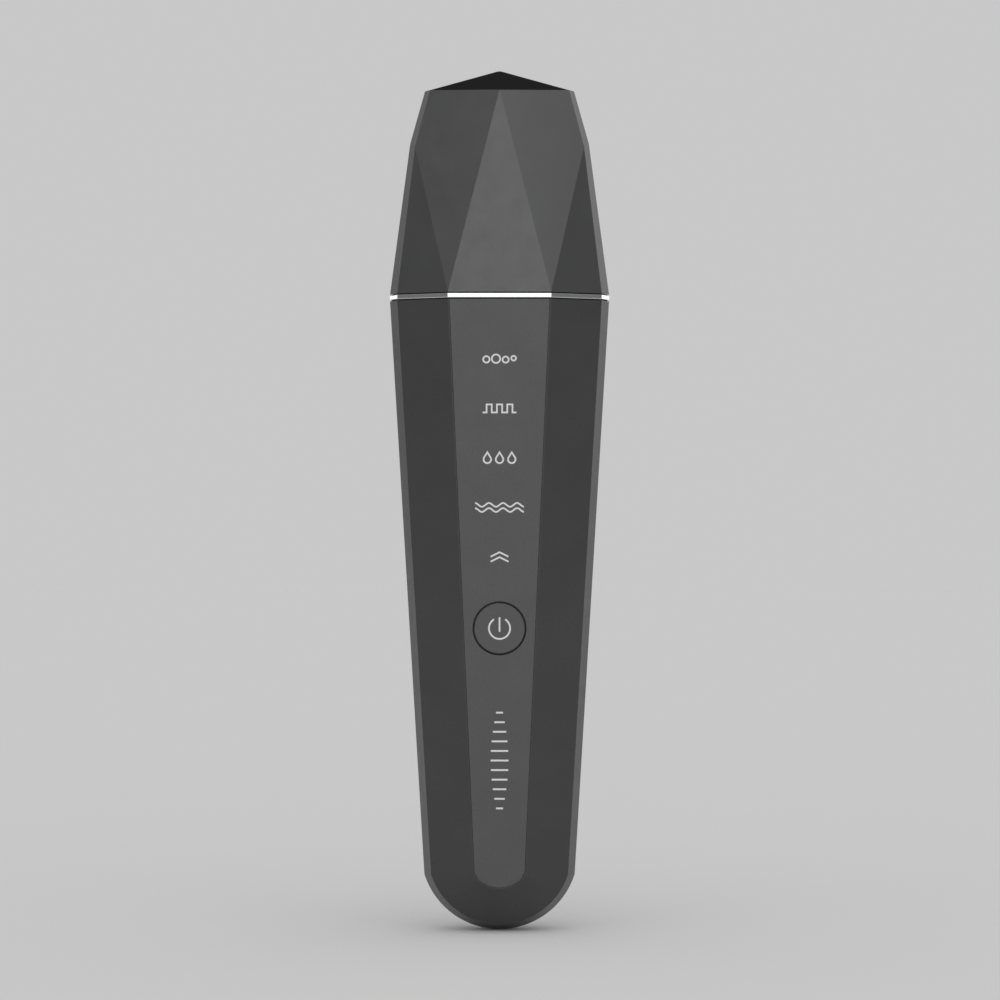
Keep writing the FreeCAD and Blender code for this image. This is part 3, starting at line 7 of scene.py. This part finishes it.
import bmesh
import bpy
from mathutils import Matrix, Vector


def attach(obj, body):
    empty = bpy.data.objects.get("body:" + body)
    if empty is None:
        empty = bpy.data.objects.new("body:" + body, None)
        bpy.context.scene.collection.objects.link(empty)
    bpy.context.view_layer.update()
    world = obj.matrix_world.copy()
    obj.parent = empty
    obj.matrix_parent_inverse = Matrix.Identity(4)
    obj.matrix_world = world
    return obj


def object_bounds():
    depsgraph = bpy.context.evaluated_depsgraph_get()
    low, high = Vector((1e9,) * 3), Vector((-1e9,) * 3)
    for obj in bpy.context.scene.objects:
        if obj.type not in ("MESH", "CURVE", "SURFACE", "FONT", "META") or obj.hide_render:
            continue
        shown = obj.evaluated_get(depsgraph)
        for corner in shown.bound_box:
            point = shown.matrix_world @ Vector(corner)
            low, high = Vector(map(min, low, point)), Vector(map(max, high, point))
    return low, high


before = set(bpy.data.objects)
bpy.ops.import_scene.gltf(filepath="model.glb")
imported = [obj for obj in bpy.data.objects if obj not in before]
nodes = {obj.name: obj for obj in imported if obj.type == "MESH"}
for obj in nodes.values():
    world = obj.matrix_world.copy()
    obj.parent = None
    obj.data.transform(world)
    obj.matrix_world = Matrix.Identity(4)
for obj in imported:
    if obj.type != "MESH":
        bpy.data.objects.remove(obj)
cad_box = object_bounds()
MM = 0.001


# ---------------------------------------------------------------- material building blocks
def new_material(name, roughness, metallic=0.0, ior=1.45):
    """Empty principled material. Returns the material, its shader and the object coordinates."""
    material = bpy.data.materials.new(name)
    material.use_nodes = True
    shader = material.node_tree.nodes["Principled BSDF"]
    shader.inputs["Roughness"].default_value = roughness
    shader.inputs["Metallic"].default_value = metallic
    shader.inputs["IOR"].default_value = ior
    return material, shader, object_place(material)


def add_node(material, kind):
    """New node of one kind."""
    return material.node_tree.nodes.new(kind)


def object_place(material):
    """Object coordinates, which are the metres of the frame."""
    return add_node(material, "ShaderNodeTexCoord").outputs["Object"]


def link(material, start, end):
    """Connect two sockets."""
    material.node_tree.links.new(start, end)


def noise(material, place, scale, detail=3.0, rough=0.5, stretch=(1.0, 1.0, 1.0)):
    """Noise in object space. Scale is in features per metre."""
    mapping = add_node(material, "ShaderNodeMapping")
    mapping.inputs["Scale"].default_value = stretch
    link(material, place, mapping.inputs["Vector"])
    texture = add_node(material, "ShaderNodeTexNoise")
    texture.inputs["Scale"].default_value = scale
    texture.inputs["Detail"].default_value = detail
    texture.inputs["Roughness"].default_value = rough
    link(material, mapping.outputs["Vector"], texture.inputs["Vector"])
    return texture.outputs["Fac"]


def remap(material, value, low, high, start=0.3, end=0.7):
    """Map a value from start-end, the usual spread of a noise, to low-high."""
    node = add_node(material, "ShaderNodeMapRange")
    node.inputs["From Min"].default_value = start
    node.inputs["From Max"].default_value = end
    node.inputs["To Min"].default_value = low
    node.inputs["To Max"].default_value = high
    link(material, value, node.inputs["Value"])
    return node.outputs["Result"]


def colour_mix(material, share):
    """Colour mix driven by a value. Returns its first and second colour and its result."""
    mix = add_node(material, "ShaderNodeMix")
    mix.data_type = "RGBA"
    link(material, share, mix.inputs["Factor"])
    first, second = [socket for socket in mix.inputs if socket.type == "RGBA"]
    result = [socket for socket in mix.outputs if socket.type == "RGBA"][0]
    return first, second, result


def tint(material, shader, value, dark, light):
    """Base colour that moves between two close shades."""
    first, second, result = colour_mix(material, value)
    first.default_value = (*dark, 1.0)
    second.default_value = (*light, 1.0)
    link(material, result, shader.inputs["Base Color"])


def combine(material, kind, first, second):
    """Math node of two sockets."""
    node = add_node(material, "ShaderNodeMath")
    node.operation = kind
    link(material, first, node.inputs[0])
    link(material, second, node.inputs[1])
    return node.outputs[0]


def bump(material, shader, heights):
    """Surface relief from several (value, depth in metres) pairs."""
    normal = None
    for value, depth in heights:
        node = add_node(material, "ShaderNodeBump")
        node.inputs["Strength"].default_value = 1.0
        node.inputs["Distance"].default_value = depth
        link(material, value, node.inputs["Height"])
        if normal is not None:
            link(material, normal, node.inputs["Normal"])
        normal = node.outputs["Normal"]
    link(material, normal, shader.inputs["Normal"])


def shades(colour, spread):
    """Darker and lighter shade round a colour."""
    dark = tuple(channel * (1.0 - spread) for channel in colour)
    light = tuple(min(channel * (1.0 + spread), 1.0) for channel in colour)
    return dark, light


def moulded(name, colour, roughness, grain=0.25, grain_depth=2.0e-6, ior=1.45, spread=0.05,
            flow_depth=1.5e-6):
    """Moulded plastic or rubber: fine spark-eroded grain, faint flow marks, uneven gloss."""
    material, shader, place = new_material(name, roughness, ior=ior)
    fine = noise(material, place, 1.0 / (grain * MM), detail=2.0, rough=0.6)
    flow = noise(material, place, 90.0, detail=2.0)
    handling = noise(material, place, 260.0, detail=5.0, rough=0.65)
    dark, light = shades(colour, spread)
    tint(material, shader, remap(material, flow, 0.0, 1.0), dark, light)
    gloss = remap(material, handling, roughness - 0.04, roughness + 0.05)
    link(material, gloss, shader.inputs["Roughness"])
    bump(material, shader, [(fine, grain_depth), (flow, flow_depth)])
    return material


def metal(name, colour, roughness, brushed=(1.0, 1.0, 1.0), line_scale=2500.0, depth=4.0e-7,
          spread=0.03):
    """Metal with fine lines or marks in object space."""
    material, shader, place = new_material(name, roughness, metallic=1.0)
    lines = noise(material, place, line_scale, detail=4.0, rough=0.6, stretch=brushed)
    patches = noise(material, place, 120.0, detail=3.0)
    dark, light = shades(colour, spread)
    tint(material, shader, remap(material, patches, 0.0, 1.0), dark, light)
    gloss = remap(material, lines, max(roughness - 0.05, 0.02), roughness + 0.06)
    link(material, gloss, shader.inputs["Roughness"])
    bump(material, shader, [(lines, depth)])
    return material


def plate_with_painted_gap_shade(material, lowest, highest):
    """Keep a metal's plating between two heights; the matt black below and above is painted shade in
    the gaps beside the trim ring.
    """
    shader = material.node_tree.nodes["Principled BSDF"]
    split = add_node(material, "ShaderNodeSeparateXYZ")
    link(material, object_place(material), split.inputs[0])
    height = split.outputs["Z"]
    above = remap(material, height, 0.0, 1.0, lowest - PLATING_EDGE, lowest + PLATING_EDGE)
    below = remap(material, height, 1.0, 0.0, highest - PLATING_EDGE, highest + PLATING_EDGE)
    plated = combine(material, "MULTIPLY", above, below)
    link(material, plated, shader.inputs["Metallic"])
    metal_colour = shader.inputs["Base Color"].links[0].from_socket
    first, second, result = colour_mix(material, plated)
    first.default_value = (*GAP_SHADE_BLACK, 1.0)
    link(material, metal_colour, second)
    link(material, result, shader.inputs["Base Color"])
    metal_gloss = shader.inputs["Roughness"].links[0].from_socket
    gap_shade_matt = remap(material, plated, GAP_SHADE_ROUGHNESS, 0.0, 0.0, 1.0)
    link(material, combine(material, "MAXIMUM", metal_gloss, gap_shade_matt), shader.inputs["Roughness"])


def speckled(name, base, fleck, roughness, scale):
    """Surface with small flecks, for ceramic, ferrite, foam and board."""
    material, shader, place = new_material(name, roughness)
    grains = noise(material, place, scale, detail=2.0, rough=0.7)
    flecks = remap(material, grains, 0.0, 1.0, *FLECK_SPREAD)
    tint(material, shader, flecks, base, fleck)
    bump(material, shader, [(grains, 4.0e-6)])
    return material


GRAPHITE = (0.0515, 0.0515, 0.0525)
PANEL_GREY = (0.0925, 0.0925, 0.0935)
PANEL_ROUGHNESS = 0.26
PANEL_GRAIN = {"grain": 0.2, "grain_depth": 1.2e-6}
CAP_GREY = (0.066, 0.0665, 0.0675)
# Near-black crown colour: painted shade for the cap's up-facing top.
CROWN_PAINTED_SHADE = (0.0135, 0.0135, 0.0137)
PRINT_GREY = (0.80, 0.80, 0.80)
# Heights of the chrome band on the trim ring; below and above it the flanges carry painted gap
# shade.
PLATING_LOWEST = 135.56 * MM
PLATING_HIGHEST = 136.54 * MM
PLATING_EDGE = 0.02 * MM
# Matt black that paints the shade in the gaps above and below the trim ring.
GAP_SHADE_BLACK = (0.006, 0.006, 0.006)
GAP_SHADE_ROUGHNESS = 0.8
FLECK_SPREAD = (0.54, 0.62)

shell_plastic = moulded("shell_plastic", GRAPHITE, 0.30, ior=1.42)
panel_plastic = moulded("panel_plastic", PANEL_GREY, PANEL_ROUGHNESS, **PANEL_GRAIN)
button_plastic = moulded("button_plastic", PANEL_GREY, PANEL_ROUGHNESS, **PANEL_GRAIN)
cap_plastic = moulded("cap_plastic", CAP_GREY, 0.17, grain_depth=1.2e-6, ior=1.43)
# The crown's base colour paints the shade of the cap's up-facing top.
crown_plastic = moulded("crown_plastic", CROWN_PAINTED_SHADE, 0.22, grain=0.3, grain_depth=8.0e-7,
                        ior=1.4)
neck_plastic = moulded("neck_plastic", (0.05, 0.051, 0.054), 0.38)
black_plastic = moulded("black_plastic", (0.012, 0.012, 0.012), 0.45)
silicone = moulded("silicone", (0.028, 0.028, 0.03), 0.55, grain=0.12, grain_depth=3.0e-6)
chrome_with_painted_gap_shade = metal("chrome_with_painted_gap_shade", (0.86, 0.865, 0.875), 0.07, line_scale=1500.0,
                        depth=1.0e-7, spread=0.01)
# Paint the shade of the gaps above and below the trim ring onto its flanges.
plate_with_painted_gap_shade(chrome_with_painted_gap_shade, PLATING_LOWEST, PLATING_HIGHEST)
blade_steel = metal("blade_steel", (0.56, 0.56, 0.57), 0.26, brushed=(14.0, 1.0, 0.5),
                    line_scale=1600.0, depth=2.0e-6)
contact_chrome = metal("contact_chrome", (0.62, 0.625, 0.635), 0.24, brushed=(10.0, 1.0, 0.5),
                       line_scale=900.0, depth=2.5e-6, spread=0.06)
plated_steel = metal("plated_steel", (0.58, 0.58, 0.60), 0.28)
can_aluminium = metal("can_aluminium", (0.66, 0.67, 0.69), 0.3)
battery_foil = metal("battery_foil", (0.62, 0.63, 0.65), 0.4, line_scale=700.0, depth=6.0e-6)
print_ink = moulded("print_ink", PRINT_GREY, 0.5, grain=0.08, grain_depth=6.0e-7, spread=0.02)
milky_plastic = moulded("milky_plastic", (0.75, 0.76, 0.76), 0.4)
light_plastic = moulded("light_plastic", (0.8, 0.76, 0.55), 0.2)
stem_plastic = moulded("stem_plastic", (0.5, 0.5, 0.48), 0.4)
red_insulation = moulded("red_insulation", (0.45, 0.02, 0.02), 0.35)
white_insulation = moulded("white_insulation", (0.7, 0.7, 0.68), 0.35)
board_mask = speckled("board_mask", (0.012, 0.09, 0.04), (0.02, 0.13, 0.06), 0.35, 900.0)
ceramic = speckled("ceramic", (0.62, 0.58, 0.46), (0.7, 0.66, 0.55), 0.6, 2500.0)
ferrite = speckled("ferrite", (0.04, 0.04, 0.043), (0.08, 0.08, 0.085), 0.55, 3000.0)
foam = speckled("foam", (0.03, 0.03, 0.03), (0.07, 0.07, 0.07), 0.9, 1800.0)

NODE_MATERIALS = {
    shell_plastic: ["rear_shell", "front_shell"],
    panel_plastic: ["front_panel"],
    button_plastic: ["power_button"],
    cap_plastic: ["cap_shell"],
    crown_plastic: ["cap_crown"],
    neck_plastic: ["neck"],
    black_plastic: ["light_baffle", "transducer_holder", "battery_tray", "power_switch",
                    "controller_chip", "charger_chip", "board_parts"],
    silicone: ["cap_seal", "blade_boot", "damper_pads"],
    chrome_with_painted_gap_shade: ["trim_ring"],
    blade_steel: ["blade"],
    contact_chrome: ["contact_plate"],
    plated_steel: ["usb_socket", "shell_screws", "board_screws", "holder_screws"],
    can_aluminium: ["capacitors"],
    battery_foil: ["battery_cell"],
    milky_plastic: ["mode_diffusers"],
    light_plastic: ["mode_leds"],
    stem_plastic: ["switch_stem"],
    red_insulation: ["battery_leads"],
    white_insulation: ["transducer_leads", "contact_lead"],
    board_mask: ["main_board"],
    ceramic: ["piezo_plate"],
    ferrite: ["driver_transformer", "boost_inductor"],
    foam: ["battery_pad"],
}
for material, names in NODE_MATERIALS.items():
    for name in names:
        slots = nodes[name].material_slots
        if len(slots) == 0:
            nodes[name].data.materials.append(material)
        for slot in slots:
            slot.material = material


# ---------------------------------------------------------------- softened edges on CAD nodes
WELD_DISTANCE = 2.0e-6
EDGE_SEGMENTS = 3


def soften(name, width, angle):
    """Rounded edges of one width where faces turn by more than an angle, by modifiers only."""
    piece = nodes[name]
    weld = piece.modifiers.new("weld", "WELD")
    weld.merge_threshold = WELD_DISTANCE
    bevel = piece.modifiers.new("bevel", "BEVEL")
    bevel.width = width
    bevel.segments = EDGE_SEGMENTS
    bevel.limit_method = "ANGLE"
    bevel.angle_limit = math.radians(angle)
    bevel.use_clamp_overlap = True
    bevel.miter_outer = "MITER_ARC"
    normals = piece.modifiers.new("normals", "WEIGHTED_NORMAL")
    normals.keep_sharp = False
    normals.weight = 80


for name, width, angle in (
        ("front_shell", 0.12 * MM, 20.0),
        ("rear_shell", 0.12 * MM, 20.0),
        ("front_panel", 0.04 * MM, 25.0),
        ("cap_shell", 0.20 * MM, 3.0),
        ("cap_crown", 0.16 * MM, 8.0),
        ("neck", 0.30 * MM, 12.0),
        ("blade_boot", 0.35 * MM, 30.0),
        ("contact_plate", 0.15 * MM, 30.0),
        ("cap_seal", 0.30 * MM, 12.0)):
    soften(name, width, angle)


# ---------------------------------------------------------------- printed marks
# Marks are laid out in millimetres across and up the panel, which leans out by its tilt.
HANDLE_LENGTH = 135.3
PANEL_FOOT_DEPTH = 9.60
PANEL_TOP_DEPTH = 11.29
PANEL_TILT = math.atan((PANEL_TOP_DEPTH - PANEL_FOOT_DEPTH) / HANDLE_LENGTH)
PANEL_UP = Vector((0.0, -math.sin(PANEL_TILT), math.cos(PANEL_TILT)))
PANEL_OUT = Vector((0.0, -math.cos(PANEL_TILT), -math.sin(PANEL_TILT)))
GRIP_SCALE_HEIGHT = 37.05
BUTTON_HEIGHT = 65.2
FIRST_MODE_HEIGHT = 80.4
MODE_PITCH = 10.525
INK_THICKNESS = 0.02
STROKE = 0.35
POWER_STROKE = 0.36
BAR_STROKE = 0.38
MITRE_LIMIT = 0.4


def on_panel(x, height, lift):
    """Place in metres of a point across, up and out of the front panel in millimetres."""
    foot = Vector((x, -PANEL_FOOT_DEPTH, 0.0))
    return (foot + PANEL_UP * height + PANEL_OUT * lift) * MM


def ribbon(points, width, closed):
    """Left and right edges of a line of even width, with mitred corners."""
    count = len(points)
    left = []
    right = []
    for index in range(count):
        before = points[index - 1] if (index > 0 or closed) else None
        after = points[(index + 1) % count] if (index < count - 1 or closed) else None
        here = Vector(points[index])
        directions = []
        if before is not None:
            directions.append((here - Vector(before)).normalized())
        if after is not None:
            directions.append((Vector(after) - here).normalized())
        middle = sum(directions, Vector((0.0, 0.0))).normalized()
        normal = Vector((-middle.y, middle.x))
        side = Vector((-directions[0].y, directions[0].x))
        reach = width / 2 / max(normal.dot(side), MITRE_LIMIT)
        left.append(here + normal * reach)
        right.append(here - normal * reach)
    return left, right


def arc(centre, radius, start, end, steps):
    """Points on an arc, in degrees from the X axis."""
    points = []
    for index in range(steps + 1):
        angle = math.radians(start + (end - start) * index / steps)
        points.append((centre[0] + radius * math.cos(angle), centre[1] + radius * math.sin(angle)))
    return points


def circle(centre, radius, steps=20):
    """Closed ring of points."""
    return arc(centre, radius, 0.0, 360.0, steps)[:-1]


def print_mark(name, strokes, height, body):
    """Thin raised ink lines on the panel. Strokes are (points, width, closed) in millimetres."""
    under = -INK_THICKNESS / 2
    top = INK_THICKNESS
    mesh = bmesh.new()
    for points, width, closed in strokes:
        left, right = ribbon(points, width, closed)
        rows = []
        for edges in zip(left, right):
            corners = zip((edges[0], edges[0], edges[1], edges[1]), (under, top, top, under))
            rows.append([mesh.verts.new(on_panel(edge.x, height + edge.y, lift))
                         for edge, lift in corners])
        count = len(rows)
        last = count if closed else count - 1
        for index in range(last):
            here = rows[index]
            after = rows[(index + 1) % count]
            for corner in range(4):
                following = (corner + 1) % 4
                mesh.faces.new((here[corner], here[following],
                                after[following], after[corner]))
        if not closed:
            mesh.faces.new(rows[0][::-1])
            mesh.faces.new(rows[-1])
    bmesh.ops.recalc_face_normals(mesh, faces=mesh.faces)
    data = bpy.data.meshes.new(name)
    mesh.to_mesh(data)
    mesh.free()
    data.materials.append(print_ink)
    piece = bpy.data.objects.new(name, data)
    bpy.context.collection.objects.link(piece)
    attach(piece, body)


def bubbles():
    """Row of rings of different sizes."""
    spots = [(-2.8, -0.1, 0.68), (-0.75, 0.05, 0.9), (1.3, -0.15, 0.65), (3.0, 0.15, 0.5)]
    return [(circle((x, y), radius), STROKE, True) for x, y, radius in spots]


def pulse():
    """Square pulse train."""
    half_width = 3.6
    half_height = 0.85
    tooth = 1.1
    points = [(-half_width, -half_height)]
    for index in range(3):
        x = -2.5 * tooth + index * 2 * tooth
        points += [(x, -half_height), (x, half_height),
                   (x + tooth, half_height), (x + tooth, -half_height)]
    points.append((half_width, -half_height))
    return [(points, STROKE, False)]


def drops():
    """Three water drops."""
    strokes = []
    for x in (-2.6, 0.0, 2.6):
        outline = arc((x, -0.3), 0.8, -215.0, 35.0, 22)
        outline.append((x, 1.2))
        strokes.append((outline, STROKE, True))
    return strokes


def waves():
    """Two long sine waves."""
    half_width = 5.2
    swing = 0.40
    radians_per_mm = 2.1
    steps = 60
    strokes = []
    for lift in (-0.55, 0.55):
        points = []
        for index in range(steps + 1):
            x = half_width * (2 * index / steps - 1)
            points.append((x, lift + swing * math.sin(x * radians_per_mm)))
        strokes.append((points, STROKE, False))
    return strokes


def chevrons():
    """Two wide chevrons that point up."""
    half_width = 1.9
    rise = 0.95
    return [([(-half_width, lift), (0.0, lift + rise), (half_width, lift)], STROKE, False)
            for lift in (-1.0, 0.05)]


def power_sign():
    """Open ring with an upright bar in its gap."""
    ring = arc((0.0, 0.0), 2.25, 122.0, 418.0, 48)
    bar = [(0.0, -0.75), (0.0, 2.35)]
    return [(ring, POWER_STROKE, False), (bar, POWER_STROKE, False)]


def grip_scale():
    """Upright column of plain bars that grow towards its middle."""
    half_height = 10.2
    shortest = 0.75
    growth = 1.15
    steps = 10
    bars = []
    for index in range(steps + 1):
        lift = half_height * (2 * index / steps - 1)
        half_width = shortest + growth * math.sin(math.pi * index / steps)
        bars.append(([(-half_width, lift), (half_width, lift)], BAR_STROKE, False))
    return bars


for index, (name, strokes) in enumerate((
        ("mark_lift", chevrons()), ("mark_vibration", waves()), ("mark_moisture", drops()),
        ("mark_pulse", pulse()), ("mark_foam", bubbles()))):
    print_mark(name, strokes, FIRST_MODE_HEIGHT + index * MODE_PITCH, "handle")
print_mark("mark_power", power_sign(), BUTTON_HEIGHT, "button")
print_mark("mark_grip_scale", grip_scale(), GRIP_SCALE_HEIGHT, "handle")


# ---------------------------------------------------------------- studio and camera
# BACKGROUND is what the camera sees. FILL is the soft light, which leans towards the key.
BACKGROUND = 0.578
FILL = 0.62
KEY_SHARE = 0.6
KEY_DIRECTION = (0.15, -0.75, 0.64)
# What reflections see. Middles and half widths are parts of a unit direction vector.
SOFTBOX_MIDDLE = 0.03
SOFTBOX_HALF_WIDTHS = (0.05, 0.17)
SOFTBOX_STRENGTHS = (1.15, 2.5)
LAMP_ACROSS = 0.64
LAMP_HALF_WIDTHS = (0.05, 0.09)
LAMP_HEIGHT = 0.055
LAMP_HALF_HEIGHTS = (0.020, 0.035)
BACKDROP_STRENGTHS = (0.12, 0.43)
SURROUND_STRENGTHS = (0.14, 0.34)
CEILING_SHARE = 0.12
FLOOR_RADIUS = 3.0
CAMERA_DISTANCE = 0.8
CAMERA_SIDESTEP = 0.1 * MM
CAMERA_LENS = 133.6


def world_math(tree, kind, first, second):
    """Math node with either numbers or sockets as inputs."""
    node = tree.nodes.new("ShaderNodeMath")
    node.operation = kind
    for socket, value in zip(node.inputs, (first, second)):
        if isinstance(value, (int, float)):
            socket.default_value = value
        else:
            tree.links.new(value, socket)
    return node.outputs[0]


def world_choice(tree, share, chosen, other):
    """Mix of two strengths, all of the first where the share is one."""
    rest = world_math(tree, "SUBTRACT", 1.0, share)
    return world_math(tree, "ADD", world_math(tree, "MULTIPLY", chosen, share),
                      world_math(tree, "MULTIPLY", rest, other))


def world_step(tree, value, start, end, low=0.0, high=1.0):
    """Smooth step of a value."""
    node = tree.nodes.new("ShaderNodeMapRange")
    node.interpolation_type = "SMOOTHSTEP"
    for label, amount in (("From Min", start), ("From Max", end),
                          ("To Min", low), ("To Max", high)):
        node.inputs[label].default_value = amount
    tree.links.new(value, node.inputs["Value"])
    return node.outputs["Result"]


def world_band(tree, value, middle, half_widths):
    """One near the middle, falling to nothing between the inner and outer half width."""
    distance = world_math(tree, "ABSOLUTE", world_math(tree, "SUBTRACT", value, middle), 0.0)
    return world_step(tree, distance, *half_widths, 1.0, 0.0)


def reflected_studio(tree, x, y, z):
    """Strength that reflections see: a tall front softbox, backdrop, two rear lamps, dim top."""
    facing = world_step(tree, y, -0.75, -0.45, 1.0, 0.0)
    narrow = world_band(tree, x, SOFTBOX_MIDDLE, SOFTBOX_HALF_WIDTHS)
    rising = world_step(tree, z, 0.08, 0.24, *SOFTBOX_STRENGTHS)
    softbox = world_math(tree, "MULTIPLY", world_math(tree, "MULTIPLY", narrow, facing), rising)
    behind = world_step(tree, y, 0.0, 0.6)
    backdrop = world_math(tree, "MULTIPLY", behind,
                          world_step(tree, x, -0.6, 0.6, *BACKDROP_STRENGTHS))
    sideways = world_math(tree, "ABSOLUTE", x, 0.0)
    lamps = world_math(tree, "MULTIPLY",
                       world_band(tree, sideways, LAMP_ACROSS, LAMP_HALF_WIDTHS),
                       world_band(tree, z, LAMP_HEIGHT, LAMP_HALF_HEIGHTS))
    lamps = world_math(tree, "MULTIPLY", lamps, behind)
    total = world_step(tree, z, 0.0, 0.25, *SURROUND_STRENGTHS)
    for light in (softbox, backdrop, lamps):
        total = world_math(tree, "ADD", total, light)
    return world_math(tree, "MULTIPLY", total,
                      world_step(tree, z, 0.40, 0.80, 1.0, CEILING_SHARE))


def studio_dome():
    """Soft dome: an even backdrop for the camera, a fill that leans to the key, reflections."""
    world = bpy.data.worlds.new("studio")
    bpy.context.scene.world = world
    world.use_nodes = True
    tree = world.node_tree
    tree.nodes.clear()
    place = tree.nodes.new("ShaderNodeTexCoord")
    split = tree.nodes.new("ShaderNodeSeparateXYZ")
    tree.links.new(place.outputs["Generated"], split.inputs[0])
    x, y, z = split.outputs
    lean = 1.0
    for axis, share in zip((x, y, z), KEY_DIRECTION):
        lean = world_math(tree, "ADD", lean, world_math(tree, "MULTIPLY", axis, share * KEY_SHARE))
    fill = world_math(tree, "MULTIPLY", lean, FILL)
    path = tree.nodes.new("ShaderNodeLightPath")
    unseen = world_choice(tree, path.outputs["Is Glossy Ray"], reflected_studio(tree, x, y, z), fill)
    strength = world_choice(tree, path.outputs["Is Camera Ray"], BACKGROUND, unseen)
    background = tree.nodes.new("ShaderNodeBackground")
    background.inputs["Color"].default_value = (1.0, 1.0, 1.0, 1.0)
    tree.links.new(strength, background.inputs["Strength"])
    output = tree.nodes.new("ShaderNodeOutputWorld")
    tree.links.new(background.outputs[0], output.inputs["Surface"])


def studio_floor():
    """Wide round pale floor under the object, as light as the backdrop under the dome's fill."""
    mesh = bmesh.new()
    bmesh.ops.create_circle(mesh, cap_ends=True, segments=96, radius=FLOOR_RADIUS)
    data = bpy.data.meshes.new("floor")
    mesh.to_mesh(data)
    mesh.free()
    material, shader, place = new_material("floor_paint", 0.9, ior=1.3)
    grain = noise(material, place, 40.0, detail=2.0)
    albedo = BACKGROUND / (FILL * (1.0 + 2.0 / 3.0 * KEY_SHARE * KEY_DIRECTION[2]))
    tint(material, shader, remap(material, grain, 0.0, 1.0),
         (albedo * 0.998,) * 3, (albedo * 1.002,) * 3)
    shader.inputs["Specular IOR Level"].default_value = 0.0
    data.materials.append(material)
    floor = bpy.data.objects.new("floor", data)
    bpy.context.collection.objects.link(floor)
    floor.location = (0.0, 0.0, cad_box[0].z)


def front_camera():
    """Level camera in front of the middle of the object."""
    data = bpy.data.cameras.new("camera")
    data.sensor_width = 36.0
    data.lens = CAMERA_LENS
    data.clip_start = 0.01
    data.clip_end = 20.0
    camera = bpy.data.objects.new("camera", data)
    bpy.context.collection.objects.link(camera)
    middle = (cad_box[0].z + cad_box[1].z) / 2
    camera.location = (CAMERA_SIDESTEP, -CAMERA_DISTANCE, middle)
    camera.rotation_euler = (math.radians(90.0), 0.0, 0.0)
    bpy.context.scene.camera = camera


studio_dome()
studio_floor()
front_camera()
bpy.context.scene.view_settings.view_transform = "Standard"
